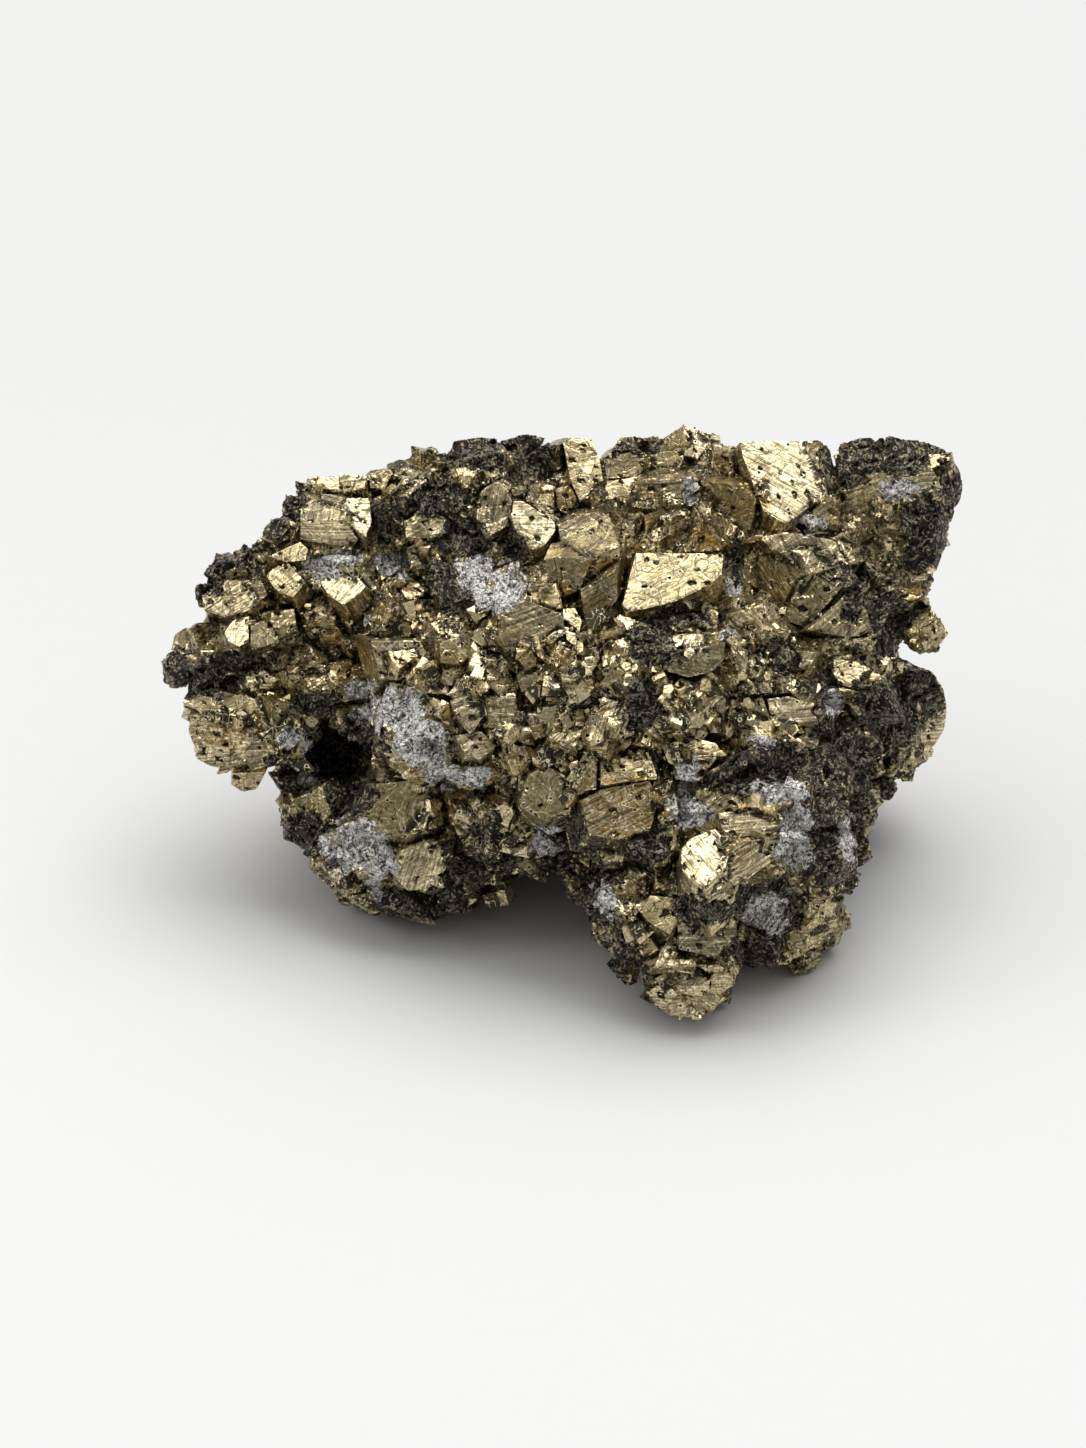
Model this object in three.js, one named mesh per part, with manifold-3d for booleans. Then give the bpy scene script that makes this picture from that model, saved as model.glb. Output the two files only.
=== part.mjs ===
// A pyrite hand specimen: a lumpy massif of dark matrix, overgrown with brassy crystals that
// run into each other, resting on a few low points. It grew as one piece, so it is one solid.
//
// Millimetres, +Z up, the front towards -Y. The origin is on the ground, under the middle of the
// specimen's bounding box.
//
// The massif is a union of lumps. The crystals of the front are placed as they are seen from the
// front, from an eye VIEW_HEIGHT_DEG above the horizon: `across` is to the right of the middle of
// that view and `up` is above it, both in millimetres. Each one sits where that line of sight
// meets the massif. The crystals of the back and sides are strewn over the massif by a rule.
import * as THREE from "three";
import { ConvexGeometry } from "three/addons/geometries/ConvexGeometry.js";
import { mergeVertices } from "three/addons/utils/BufferGeometryUtils.js";
import Module from "manifold-3d";

// Driving dimensions
const VIEW_HEIGHT_DEG = 35;
const EYE_DISTANCE = 1200;
const VIEW_MIDDLE = new THREE.Vector3(-1.8, -1, 20);
const LUMP_DETAIL = 1;
const LUMP_ROUGHNESS = 0.1;
const FINEST_DETAIL = 0.4;
const BEAD_RADIUS = 0.3;
const MENDING_ROUNDS = 4;
const CRYSTAL_RISE = 0.8;
const SKIRT = 2.2;
const SKIRT_SHARE = 0.6;
const SAME_CORNER = 0.7;
const LEVELLING_ROUNDS = 12;
const LEVELLING_PULL = 0.15;
const CENTRING = [-0.02, 0.11, 0];
const GROUND_BLOCK = 400;

// Lumps of the massif: centre, then half lengths along X, Y and Z.
const LUMPS = [
  { name: "core", at: [4, 2, 22], half: [25, 16, 13.8] },
  { name: "right_ridge", at: [12, 15, 32.6], half: [15, 8, 7.4] },
  { name: "left_ridge", at: [-7, 16, 32.6], half: [14, 8, 7.4] },
  { name: "left_shoulder", at: [-22, 13, 28.4], half: [8.4, 7.5, 8.2] },
  { name: "left_flank", at: [-30.5, 8, 24], half: [5.6, 7, 7] },
  { name: "left_lobe", at: [-30, 4, 19], half: [7, 6.5, 5.6] },
  { name: "low_left_lobe", at: [-14, -3.5, 8.3], half: [11.4, 7.6, 9] },
  { name: "low_left_end", at: [-23.9, 0.8, 8.6], half: [4.5, 5, 4.9] },
  { name: "front_lobe", at: [17, -11.5, 14], half: [12, 9, 10.6] },
  { name: "front_foot", at: [12.8, -20, 6], half: [5, 5.4, 7] },
  { name: "right_foot", at: [24, -12.5, 4.6], half: [4, 4.4, 5.6] },
  { name: "low_right_flank", at: [25.4, -4.5, 13], half: [5.6, 7, 8.4] },
  { name: "right_flank", at: [28, 6, 23], half: [6, 8, 9.4] },
  { name: "high_right_block", at: [34, 14, 33.6], half: [4.8, 5.6, 7] },
  { name: "low_right_back", at: [32.6, 9, 13.5], half: [4.4, 6, 6.8] },
  { name: "right_knob", at: [36, 9, 25], half: [1.9, 2.6, 2.7] },
  { name: "back", at: [2, 12, 15], half: [25, 9.4, 14.6] },
  { name: "upper_back", at: [1, 14.5, 25], half: [23, 8, 9] },
  { name: "back_left_foot", at: [-18, 11, 12], half: [9, 7.4, 13.2] },
  { name: "back_right_foot", at: [24, 13, 14], half: [9, 7.4, 15.2] },
  { name: "right_saddle", at: [27.5, 14, 32], half: [5, 6, 6] },
  { name: "front_edge", at: [7.4, -15.5, 9], half: [5, 6, 5.4] },
  { name: "low_middle", at: [-1, -3, 10], half: [8, 7, 5.4] },
  { name: "left_tip", at: [-34.9, 5.5, 22.4], half: [2.5, 4.2, 4.2] },
  { name: "right_neck", at: [32.4, 11.5, 27.5], half: [3.9, 5, 5.6] },
];

// Deep hollows: place in the front view, how far the middle lies behind the massif's surface and
// the half lengths across, up and along the line of sight.
const HOLLOWS = [{ across: -20.3, up: -2.8, behind: -5.5, half: [3.6, 3.2, 8] }];

// Crystal habits: how far the cube, pyritohedron and octahedron faces lie from the centre, as
// shares of half the crystal's size. A form that is left out doesn't show.
const HABITS = {
  cube: { cube: 1 },
  bevelled: { cube: 1, octahedron: 1.42 },
  pyritohedron: { pyritohedron: 0.94 },
  knob: { cube: 1, octahedron: 1.16 },
  octahedron: { cube: 1, octahedron: 0.8 },
};

// Faced crystals of the front, each known by the outline of its main face: the corners as they
// are seen, across and up, then the compass and height in degrees that the face looks to (0 is
// the viewer's side and 90 is to the right), how far its middle stands proud of the massif, how
// deep the crystal is behind the face, and how much wider its back is.
const faced = (outline, look, proud = 1.2, depth = 5, flare = 1.12) => ({
  outline,
  look,
  proud: proud + CRYSTAL_RISE,
  depth: depth + CRYSTAL_RISE,
  flare,
});

const HIGH_LEFT = [
  faced([[-23.7, 24.7], [-19.8, 25.2], [-17.5, 25], [-17.7, 23.6], [-19.8, 23.2], [-22.1, 23.6]], [-8, 66], 1.4, 4),
  faced([[-19.9, 22.7], [-17.3, 22.7], [-17.1, 20.4], [-17.7, 18.7], [-19.3, 19.9], [-20, 20.9]], [8, 60], 2, 4),
  faced([[-22.3, 23.1], [-19.8, 22.7], [-20, 20.9], [-22.5, 21.4]], [-30, 35], 1.5, 4),
  faced([[-24.3, 20.4], [-19.8, 20.4], [-18.5, 18.4], [-19.3, 17.2], [-24.3, 18.4]], [-5, 2], 1.6, 4),
  faced([[-24.9, 24.4], [-22.8, 24], [-22.9, 22.4], [-24.3, 22.2], [-24.9, 23.2]], [-40, 50], 1, 4),
  faced([[-17.5, 25.4], [-15.3, 25.8], [-14.9, 25], [-15.8, 23.4], [-17.3, 23.6]], [20, 50], 0.6, 4),
  faced([[-15.1, 24.6], [-13.8, 25.6], [-12.5, 25.4], [-12.5, 24.2], [-14.8, 23.6]], [0, 40], 0.8, 4),
  faced([[-14, 20.4], [-12.5, 21.2], [-10.3, 21], [-9.3, 20.4], [-9.4, 19.2], [-11.3, 18.4], [-13.8, 18.7]], [0, 46], 1.2, 4),
  faced([[-13.8, 17.6], [-12.3, 18.2], [-11.1, 16.4], [-11.5, 15.2], [-13.3, 15.4]], [-10, 35], 1.2, 4),
  faced([[-27.5, 16.8], [-24.3, 18.3], [-23.5, 17.6], [-23.7, 16.4], [-25.8, 16.2]], [-20, 58], 0.9, 4),
  faced([[-27.3, 15.4], [-25.8, 16.4], [-24.3, 14.9], [-23.8, 14.1], [-25, 12.6], [-26.8, 13.4], [-27.8, 14.9]], [-15, 56], 1.5, 4.5),
  faced([[-22.3, 14.2], [-20.7, 15.8], [-19.9, 16.4], [-17.7, 13.9], [-17.9, 13.4], [-19.9, 11.9], [-21.5, 12.9]], [-25, 62], 2.4, 5),
  faced([[-19.9, 16.4], [-18.8, 16.8], [-16.2, 14.1], [-16.3, 12.4], [-17.7, 12.4], [-17.9, 13.6]], [50, 38], 1.6, 4),
  faced([[-16.8, 15.9], [-14.8, 16.9], [-14, 15.9], [-16.1, 14.4]], [0, 72], 1.2, 4),
  faced([[-16, 14.1], [-14.9, 15.4], [-13.8, 15.2], [-14.3, 12.6], [-16, 13.4]], [-30, 40], 1.2, 4),
  faced([[-13.8, 15.2], [-13, 14.9], [-11.1, 13.4], [-12.5, 12.4], [-14.3, 12.6]], [25, 55], 1.2, 4),
  faced([[-34.3, 12.9], [-31.8, 14.4], [-29.8, 14.4], [-28.8, 12.4], [-29.3, 11.2], [-31.8, 10.6], [-34.1, 11.4]], [-35, 38], 0.6, 5),
  faced([[-29.8, 14.2], [-28.1, 14.4], [-27.5, 12.9], [-28.8, 11.9]], [10, 40], 0.9, 4),
  faced([[-31.9, 9.2], [-31, 10.4], [-29.4, 10.8], [-29.4, 8.4], [-30.3, 7.7], [-31.5, 8.3]], [8, 60], 1.6, 4),
  faced([[-29.3, 7.9], [-29.3, 9.9], [-28.1, 10.4], [-27.1, 9.9], [-26.2, 8.2], [-28.5, 7.6]], [0, 45], 1.4, 4),
  faced([[-27.1, 11.4], [-24.7, 11.7], [-24.4, 9.9], [-26.3, 8.4], [-27.3, 10.4]], [22, 40], 1.2, 4),
  faced([[-34.3, 7.4], [-32.8, 7.4], [-32.7, 6.2], [-33.8, 6]], [-10, 62], 1.2, 3),
  faced([[-37.3, 7.4], [-37, 8.9], [-35.8, 9.7], [-34.7, 9.4], [-35.3, 7.9], [-36.3, 7.4]], [-55, 35], 0.4, 4),
];

const LEFT_LOBE = [
  faced([[-30.3, 5.4], [-28.1, 5.6], [-26.5, 4.4], [-27.5, 3.4], [-29.8, 3.6]], [0, 48], 1.6, 4),
  faced([[-35.9, 2.2], [-33, 3.6], [-29.8, 3], [-26.4, 2.4], [-25.4, 0.2], [-26.8, -1.8], [-30.3, 0.9], [-34.3, 1]], [-12, 50], 1, 5),
  faced([[-35.7, 1.1], [-30.3, 0.9], [-26.8, -1.6], [-26.1, -3.6], [-27.1, -4.4], [-32.8, -5], [-34.5, -4.1], [-35.7, -1.1]], [-18, 14], 1.2, 7),
  faced([[-27.1, 2.2], [-24.3, 1.9], [-23.9, -1.6], [-25.8, -3.4], [-27, -1.6]], [28, 22], 0.8, 5),
  faced([[-31.1, -4.9], [-27.8, -4.8], [-28.6, -6.6], [-30.1, -6.9], [-31.2, -6.1]], [-10, -12], -1.2, 4),
];

const CENTRE_LEFT = [
  faced([[-22.5, 8.4], [-20.8, 8.7], [-19.8, 6.9], [-20.5, 5.6], [-22.1, 5.9], [-22.8, 7.2]], [-10, 44], 1.6, 4),
  faced([[-19.8, 8.4], [-18.6, 7.9], [-18.3, 5.9], [-19.6, 4.4], [-20.5, 5.6], [-19.8, 6.9]], [22, 40], 1.5, 4),
  faced([[-23.1, 10.2], [-21.9, 10.4], [-22.6, 9.1]], [0, 60], 1.6, 3),
  faced([[-17.3, 8.4], [-12.3, 8.4], [-11.3, 6.4], [-14.3, 4.4], [-16.3, 4.6]], [0, 42], 0.6, 4),
  faced([[-15.5, 7.4], [-13.3, 6.9], [-12.8, 7.6], [-12.5, 6.9], [-14.3, 5.6], [-15.1, 6.2]], [15, 62], 1.4, 3),
  faced([[-13.8, 12.4], [-11.3, 12.6], [-9.3, 11.4], [-9.8, 9.4], [-12.3, 9.6], [-13.8, 10.9]], [0, 48], 1, 4),
  faced([[-18.3, 11.9], [-16.7, 12.1], [-16.5, 10.9], [-17.8, 10.6]], [-10, 50], 0.9, 3),
  faced([[-10.3, 8.4], [-8.1, 8.6], [-7.1, 7.2], [-8.1, 5.9], [-10.2, 6.1]], [10, 42], 1, 4),
  faced([[-9.3, 2.4], [-6.3, 3.4], [-5.3, 1.4], [-7.3, -1.1], [-8.8, 0.9]], [-10, 40], 1, 4),
  faced([[-5.8, 2.9], [-2.8, 3], [-2.1, 1], [-3.8, -0.6], [-5.4, 0]], [10, 35], 0.8, 4),
];

const HIGH_MIDDLE = [
  faced([[-9.5, 26.9], [-9.1, 28.4], [-6.3, 28.8], [-4.6, 28.6], [-4.8, 27.4], [-7.3, 26.6]], [0, 55], -0.6, 4),
  faced([[-4.3, 28.4], [-2.8, 28.8], [-1.3, 29], [0.2, 28.6], [-1.3, 27.9], [-2.8, 26.9]], [10, 50], -0.4, 4),
  faced([[-0.8, 27.4], [0.2, 27.9], [1.7, 28], [1.7, 25.4], [0.2, 24.9], [-0.6, 25.4]], [-32, 6], 0.4, 2, 0.8),
  faced([[-3.3, 25.4], [-1, 27.4], [-0.3, 25.4], [-0.8, 24.4], [-2.3, 24.9]], [-30, 50], 1, 4),
  faced([[1.9, 28.4], [3.2, 28.7], [4.9, 28.6], [5.7, 26.4], [6.1, 24.4], [3.7, 22.2], [2.7, 24.4]], [4, 55], 2, 4.5, 0.9),
  faced([[6.2, 26.9], [9.7, 27.4], [10.2, 26.2], [9.7, 24.9], [6.2, 24.4]], [-20, 40], 0.8, 5),
  faced([[6.2, 24.4], [9.7, 24.9], [8.5, 22.7], [6.2, 22.4]], [5, 56], 1.4, 4),
  faced([[6.9, 27.4], [7.7, 28.7], [9.4, 28.8], [10.7, 28.4], [9.7, 27.4]], [0, 50], -1, 4),
  faced([[10.7, 27.9], [14, 30], [14.9, 28.4], [13.7, 25.4], [10.7, 24.9], [10.2, 26.2]], [-20, 44], 1, 6),
  faced([[14, 30.1], [15.7, 29.6], [16.9, 28.4], [15.4, 26.4], [14.6, 28.2]], [20, 55], 0.6, 5),
  faced([[15.5, 29.4], [17.7, 29.2], [17.9, 28.4], [16.9, 24.9], [15.4, 26.9]], [5, 50], 0.4, 5),
  faced([[16.9, 28.4], [19.5, 27.9], [19.7, 25.4], [18.2, 24.2], [16.9, 24.9]], [25, 40], 1, 5),
  faced([[9.7, 24.4], [14.7, 24.6], [15.7, 23.4], [14.5, 22.4], [10.7, 20.9], [8.9, 21.9]], [0, 20], 1.2, 6),
  faced([[7.7, 21.9], [8.9, 21.9], [10.2, 20.9], [9.2, 18.4], [7.7, 19.4]], [-28, 28], 1.4, 5),
  faced([[10.2, 20.9], [14.7, 22.4], [15.7, 20.4], [13.7, 19.4], [10.2, 17.9]], [15, 18], 0.8, 5),
  faced([[15.7, 24.4], [19.7, 23.9], [21.4, 22.4], [20.7, 19.4], [18.2, 18.4], [16.2, 20.4]], [-12, 24], 0.9, 6),
  faced([[21.7, 24.2], [22.4, 24.2], [22.5, 22.4], [21.9, 22.1]], [0, 40], 1.6, 4),
  faced([[1.5, 19.9], [3.4, 21], [5.4, 21.2], [7.1, 19.8], [6.9, 18], [5.3, 16.8], [3.2, 16.7], [1.7, 17.9]], [0, 40], 2.2, 4.5),
  faced([[-6.8, 20.9], [-6.3, 23.4], [-4.6, 24.3], [-3.5, 23.4], [-3, 22.4], [-3.5, 19.9], [-4.5, 19.4], [-5.8, 18.4], [-6.6, 19.9]], [-15, 40], 2, 4.5),
  faced([[-3.5, 23.6], [-1.5, 24], [-1.5, 23.1], [-2.8, 22.6]], [20, 40], 1.4, 4),
  faced([[-3, 22.4], [-2.1, 22.4], [1.2, 20.4], [1.3, 19.4], [0.2, 17.9], [-1, 17.4], [-2.8, 19.4], [-3.3, 20.9]], [12, 54], 2, 4.5),
  faced([[1.2, 23.4], [2.7, 23.9], [3.5, 22.4], [2.5, 20.9], [1.3, 21.6]], [10, 40], 0.8, 4),
];

const HIGH_RIGHT = [
  faced([[19.7, 28.3], [27.7, 28.4], [28.3, 22.9], [24.3, 20], [22.1, 21.2], [22.4, 24.2], [19.8, 27.2]], [4, 58], 2.4, 6),
  faced([[27.6, 28.4], [28.8, 27.4], [29.6, 25.2], [29.8, 22.6], [28.4, 22.8], [28, 25.6]], [58, 34], 2, 6),
  faced([[28.9, 26.9], [29.7, 28.2], [31.7, 28.7], [35, 28.9], [38.4, 28.2], [40, 27.4], [40.8, 26.5], [39, 25.6], [33.2, 26], [29.6, 25]], [4, 64], -0.4, 6, 0.92),
  faced([[29.4, 24.6], [33.2, 26], [36, 25.4], [36.4, 19.4], [34.4, 14.2], [31, 17.2], [29.6, 21]], [-16, 16], 0.8, 8, 0.9),
  faced([[36, 25.4], [39, 25.6], [40, 23.6], [39.8, 18.4], [38.4, 14.2], [36, 13.8], [34.4, 14.2], [36.4, 19.4]], [14, 14], 0.8, 8, 0.9),
  faced([[40.2, 26.6], [41.4, 26], [42, 24.4], [41.7, 22.6], [40.2, 17.6], [39.4, 15.1], [38.9, 14.8], [39.7, 18.4], [40, 23.6]], [64, 16], -0.6, 6, 0.92),
  faced([[21.7, 18.4], [25.7, 17.1], [26.9, 15.1], [25.5, 14.2], [23.9, 10.4], [22.2, 9.6], [19.9, 12.4], [19.5, 15.9]], [-36, 22], 2, 6),
  faced([[22.2, 18.9], [25.7, 19.2], [29.2, 18.4], [31.7, 14.4], [29.7, 13.4], [26.9, 15.1], [25.7, 17.1], [21.7, 18.4]], [18, 44], 2.2, 6),
  faced([[25.5, 14.2], [26.9, 15.1], [29.7, 13.4], [28.7, 12.4], [26.3, 9.4], [24.7, 10.2], [23.9, 10.4]], [-4, 26], 2.6, 6),
  faced([[26.3, 9.4], [30.2, 12.9], [32.2, 11.9], [33.7, 8.9], [30.7, 8.7]], [22, 38], 2, 6),
  faced([[29.5, 8.4], [33.7, 8.7], [32.7, 6.9], [30.2, 6.6]], [0, 10], 1.2, 5),
  faced([[37, 5.2], [39, 5.3], [40.1, 3.6], [40.5, 1.4], [40.2, -0.6], [39.4, -1.9], [37.6, -4], [36.6, -2], [36.4, 1.6]], [42, 6], -0.4, 6, 0.92),
  faced([[34.6, -1.4], [36.6, -2], [37.6, -4], [35.6, -5.6], [34.7, -5.4], [34, -3.4]], [16, -4], -0.2, 5, 0.92),
];

const MIDDLE = [
  faced([[9.3, 17.2], [13.7, 17.1], [18.1, 17.1], [17.9, 14.9], [15.7, 13.4], [13.7, 12.4], [11.2, 11.7], [8.5, 11.2], [7.9, 11.9]], [-4, 58], 3, 5.5),
  faced([[0, 16.4], [1.7, 16.8], [4.7, 16.4], [3.7, 13.4], [1.7, 12.6], [0.7, 14.4]], [-22, 24], 1.2, 5),
  faced([[4.7, 16.4], [7.7, 17.9], [7.9, 16.4], [5.7, 12.4], [3.7, 13.4]], [22, 14], 0.9, 5),
  faced([[3.7, 13.4], [7.4, 15.4], [7.5, 12.4], [5.7, 10.4], [4, 10.9]], [0, 18], 1, 5),
  faced([[-1.8, 14.2], [1.2, 14.2], [2, 11.5], [0.2, 11.2], [-2.3, 12.7]], [0, 46], 1.8, 4.5),
  faced([[-4.3, 11.9], [-2.3, 12.6], [0.2, 11.2], [2, 10.9], [2.2, 8.9], [0.2, 7.9], [-2.8, 8.4], [-4.3, 9.4]], [-5, 34], 1.4, 5),
  faced([[2, 11.6], [3.2, 11.7], [3.9, 10.4], [3.7, 9.2], [2.8, 9.9], [1.9, 10.7]], [-2, 62], 2.8, 3),
  faced([[-0.2, 8.3], [2, 9.9], [2.9, 9.6], [1.7, 8.7], [0.2, 7.9]], [-25, 60], 2.4, 2.4),
  faced([[2.2, 9.4], [3.5, 9.1], [3.4, 7.7], [2.4, 8.4]], [10, 60], 2.2, 2.4),
  faced([[3.7, 7.4], [5.7, 7.9], [4.7, 6.4], [3.9, 6.4]], [15, 40], 1.8, 3),
  faced([[11.7, 7.4], [12.4, 8.7], [14.2, 9.2], [15.9, 9.1], [16.5, 7.6], [14.2, 6.9]], [0, 60], 2.4, 4),
  faced([[11.7, 7.2], [14.2, 6.9], [17.5, 7.9], [17.9, 6.4], [16.9, 5.2], [14.7, 4.6], [12.2, 5.2]], [2, 22], 2.2, 4.5),
  faced([[3.8, -1.1], [4.7, 1.6], [6.2, 2.8], [8.2, 2.4], [7.9, 0.4], [6.2, -1.8], [4.7, -1.8]], [-14, 56], 2.6, 4.5),
  faced([[8.2, 2.4], [9.7, 1.2], [9.3, -1.1], [6.7, -1.8], [6.2, -1.8], [7.9, 0.4]], [25, 34], 2.2, 4.5),
  faced([[5.2, 3.6], [6.7, 4.4], [7.7, 3.4], [7.5, 2.6], [5.7, 2.7]], [0, 50], 1.4, 3),
  faced([[23.7, 9.2], [24.9, 9.6], [25.4, 8.4], [24.7, 7.6], [23.8, 8.2]], [0, 62], 1.8, 3),
  faced([[24.4, 5.4], [25.4, 7.4], [27.5, 7.2], [26.9, 5.9], [25.2, 5.2]], [0, 40], 1.6, 4),
  faced([[20.4, 4.5], [20.9, 6.1], [22, 5.9], [21.5, 4.7]], [0, 60], 1.4, 3),
  faced([[29, 6.6], [31.5, 6.4], [33.7, 5.2], [34.2, 3.9], [31.7, 3.4], [29.7, 3.9], [29, 4.9]], [-4, 56], 1.8, 4.5),
  faced([[29.7, 3.4], [34.7, 3.4], [35.5, 1.2], [31.7, 0.6], [30.2, 2.4]], [8, 40], 1.4, 4.5),
  faced([[22.3, 2.6], [24.7, 2.9], [28.2, 1.9], [27.7, 0.4], [25.2, -0.4], [22.9, 0.2]], [0, 46], 1.8, 4.5),
  faced([[23.2, 0.2], [25.2, 0.2], [25.7, -0.6], [24.5, -1.6]], [-8, 58], 1.8, 3),
  faced([[16.7, -4.6], [21.2, -2.1], [21.9, -2.6], [19.2, -5.1], [17.2, -6.1]], [10, 45], 1.6, 3.5),
  faced([[12.7, -1.9], [14.7, -1.1], [17.2, -1.8], [18.4, -3.1], [15.7, -3.6], [13.2, -3.1]], [0, 58], 2, 4),
  faced([[12.9, -3.1], [15.7, -3.6], [17.4, -3.4], [15.7, -6.1], [13.2, -5.6]], [-5, 20], 1.6, 4),
];

const LOW_LEFT = [
  faced([[-17.8, -6.1], [-11.8, -5.4], [-10.6, -6.8], [-11.8, -10.6], [-13.8, -11.4], [-17.8, -10.6], [-18.5, -8.6]], [-10, 36], 2.2, 6),
  faced([[-10.3, -7.1], [-9.6, -8.1], [-10, -10.1], [-11.3, -11.1], [-11.8, -10.6], [-10.6, -6.8]], [55, 12], 1.2, 5),
  faced([[-17.1, -2.1], [-15.8, -1.6], [-12.8, -4.1], [-11.8, -5.6], [-16.5, -5.1], [-17.3, -3.8]], [-20, 60], 1.4, 4.5),
  faced([[-15.1, -15.1], [-14.3, -12.6], [-11.8, -11.6], [-9.3, -12.1], [-9.3, -16.1], [-11.3, -17.3], [-13.8, -16.6]], [-2, 16], 1, 5),
  faced([[-25.3, -7.6], [-23.3, -7.1], [-21.3, -5.6], [-20.8, -7.6], [-22.1, -10.6], [-24.3, -11.4], [-26, -9.6]], [-34, 24], 0.6, 5),
  faced([[-21.8, -10.6], [-18.8, -9.8], [-15.8, -11.6], [-14.5, -13.6], [-16.3, -15.1], [-18.3, -15.6], [-21.3, -12.6]], [-24, 32], 0.8, 5),
  faced([[-18.8, -17.1], [-15.3, -18.1], [-16.8, -19.1], [-18.3, -18.6]], [-10, 10], -0.4, 4),
];

const LOW_MIDDLE = [
  faced([[2, -5.6], [4.7, -2.1], [5.4, -3.6], [5.4, -6.6], [3.7, -7.1]], [0, 36], 1.8, 4),
  faced([[-2.3, -7.6], [-1.5, -5.1], [0.2, -4.1], [2.2, -5.1], [2.9, -7.1], [2.7, -9.1], [0.2, -9.8], [-1.8, -8.8]], [-5, 34], 2, 5),
  faced([[-1.5, 1.2], [0.2, 0.9], [0.7, -1.1], [-0.8, -1.6], [-1.6, -0.1]], [0, 35], 1.4, 3.5),
  faced([[-8.8, -1.1], [-6.3, -0.6], [-4.5, -2.1], [-6.3, -3.6], [-7.8, -3.1]], [0, 45], 1.2, 4),
  faced([[3.7, -7.6], [5.7, -6.6], [10.7, -5.6], [11.7, -7.6], [10.7, -10.6], [7.7, -11.6], [4.7, -11.1]], [2, 38], 1.8, 6),
  faced([[5.7, -3.6], [10.7, -2.6], [11.7, -5.6], [5.7, -6.1]], [0, 52], 1.4, 4),
];

const LOW_RIGHT = [
  faced([[13.7, -12.6], [14.7, -11.4], [17.2, -10.4], [17.9, -11.1], [18.8, -12.6], [18.2, -14.4], [16.2, -16.3], [14.7, -15.6], [13.9, -14.6]], [-14, 64], 2.6, 6),
  faced([[17.5, -8.8], [19.7, -8.6], [23.7, -8.8], [24.7, -10.6], [21.2, -10.8], [19.2, -11.4], [17.9, -10.6]], [16, 50], 1.8, 5),
  faced([[18.8, -12.1], [25, -10.8], [24.7, -12.6], [21.7, -14.6], [19.7, -16.1], [16.9, -17.1], [18.2, -14.4]], [30, 20], 2, 6),
  faced([[9.7, -18.6], [10.7, -17.1], [13.7, -17.4], [14, -18.6], [12.9, -20.1], [12.7, -21.1], [10.2, -19.6]], [-4, 50], 1.6, 4.5),
  faced([[13.2, -17.6], [19.2, -17.4], [19.4, -21.6], [17.2, -23.3], [13.7, -22.6]], [8, 32], 0.8, 5),
  faced([[7.7, -20.1], [8.5, -19.4], [10.2, -22.6], [9.5, -23.6], [8.2, -23.4]], [-30, 30], 0.8, 4),
  faced([[9.7, -24.1], [17.7, -24.1], [19.5, -26.1], [17.2, -28.8], [14.7, -29.8], [12.2, -29.4], [10.2, -27.6]], [-4, 14], 0.8, 6),
  faced([[23.2, -17.1], [28.7, -16.6], [29.9, -18.1], [29.5, -20.6], [26.7, -23.1], [23.7, -24.4], [22.2, -21.1]], [30, 14], 0.4, 6),
];

const FACED_CRYSTALS = [
  ...HIGH_LEFT,
  ...LEFT_LOBE,
  ...CENTRE_LEFT,
  ...HIGH_MIDDLE,
  ...HIGH_RIGHT,
  ...MIDDLE,
  ...LOW_LEFT,
  ...LOW_MIDDLE,
  ...LOW_RIGHT,
];

// Rounded lumps of the outline and small crystals of the front: habit, across, up, size and how
// far the middle stands proud of the massif.
const knob = (habit, across, up, size, proud = 0) => ({ habit, across, up, size, proud });

const EDGE_KNOBS = [
  knob("knob", -31.3, 14.8, 4.4), knob("knob", -29.7, 16, 3.2), knob("knob", -26.2, 18.9, 3.2),
  knob("knob", -24.8, 21.4, 2.8), knob("knob", -27.8, 17.2, 2.6), knob("bevelled", -33.4, 12.8, 2.4),
  knob("knob", -36.2, 5.6, 3.4), knob("octahedron", -36.9, 4.4, 2.2, -0.6),
  knob("knob", 38, 9.4, 4.2), knob("knob", 34, -6.4, 2.8), knob("knob", 31.3, -8.8, 2.8),
  knob("bevelled", 31, -12.4, 3.6), knob("knob", 30.2, -15.6, 2.8), knob("knob", 8.6, 27.4, 2.6),
  knob("knob", 36, 12.2, 2.2, 0.4), knob("bevelled", -22, -12.4, 3), knob("knob", -19.4, -15.2, 3),
  knob("knob", -12.6, -18, 2.8, -0.4), knob("knob", -8.4, -17.8, 2.6, -0.4),
  knob("knob", -4.8, -16.8, 2.6, -0.4), knob("bevelled", 3.9, -15.8, 3.4), knob("knob", 6, -18.4, 3.6),
  knob("bevelled", 7.4, -21.2, 3.4), knob("knob", 8.6, -24.2, 3.4), knob("knob", 10.8, 27.2, 2.6),
  knob("knob", 6.9, 26, 2.8), knob("bevelled", -11.2, 23.2, 3.6, 0.4), knob("knob", -8.2, 24.2, 3.6, 0.4),
  knob("cube", -14, 22, 3, 0.4), knob("pyritohedron", -5.4, 25.2, 3.8, 0.4),
  knob("knob", -25.6, -5.1, 2.8),
];

// How the gaps between the faced crystals of the front are filled.
const FILLING = {
  step: 4.3,
  shake: 1.7,
  widest: 3.6,
  corners: 8,
  depth: 4,
  flare: 1.12,
  proud: 0.5,
  spread: 1.1,
  compass: 80,
  lowest: 8,
  highest: 72,
  smallest: 2.5,
  shrinks: [1, 0.8, 0.62],
};

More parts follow.
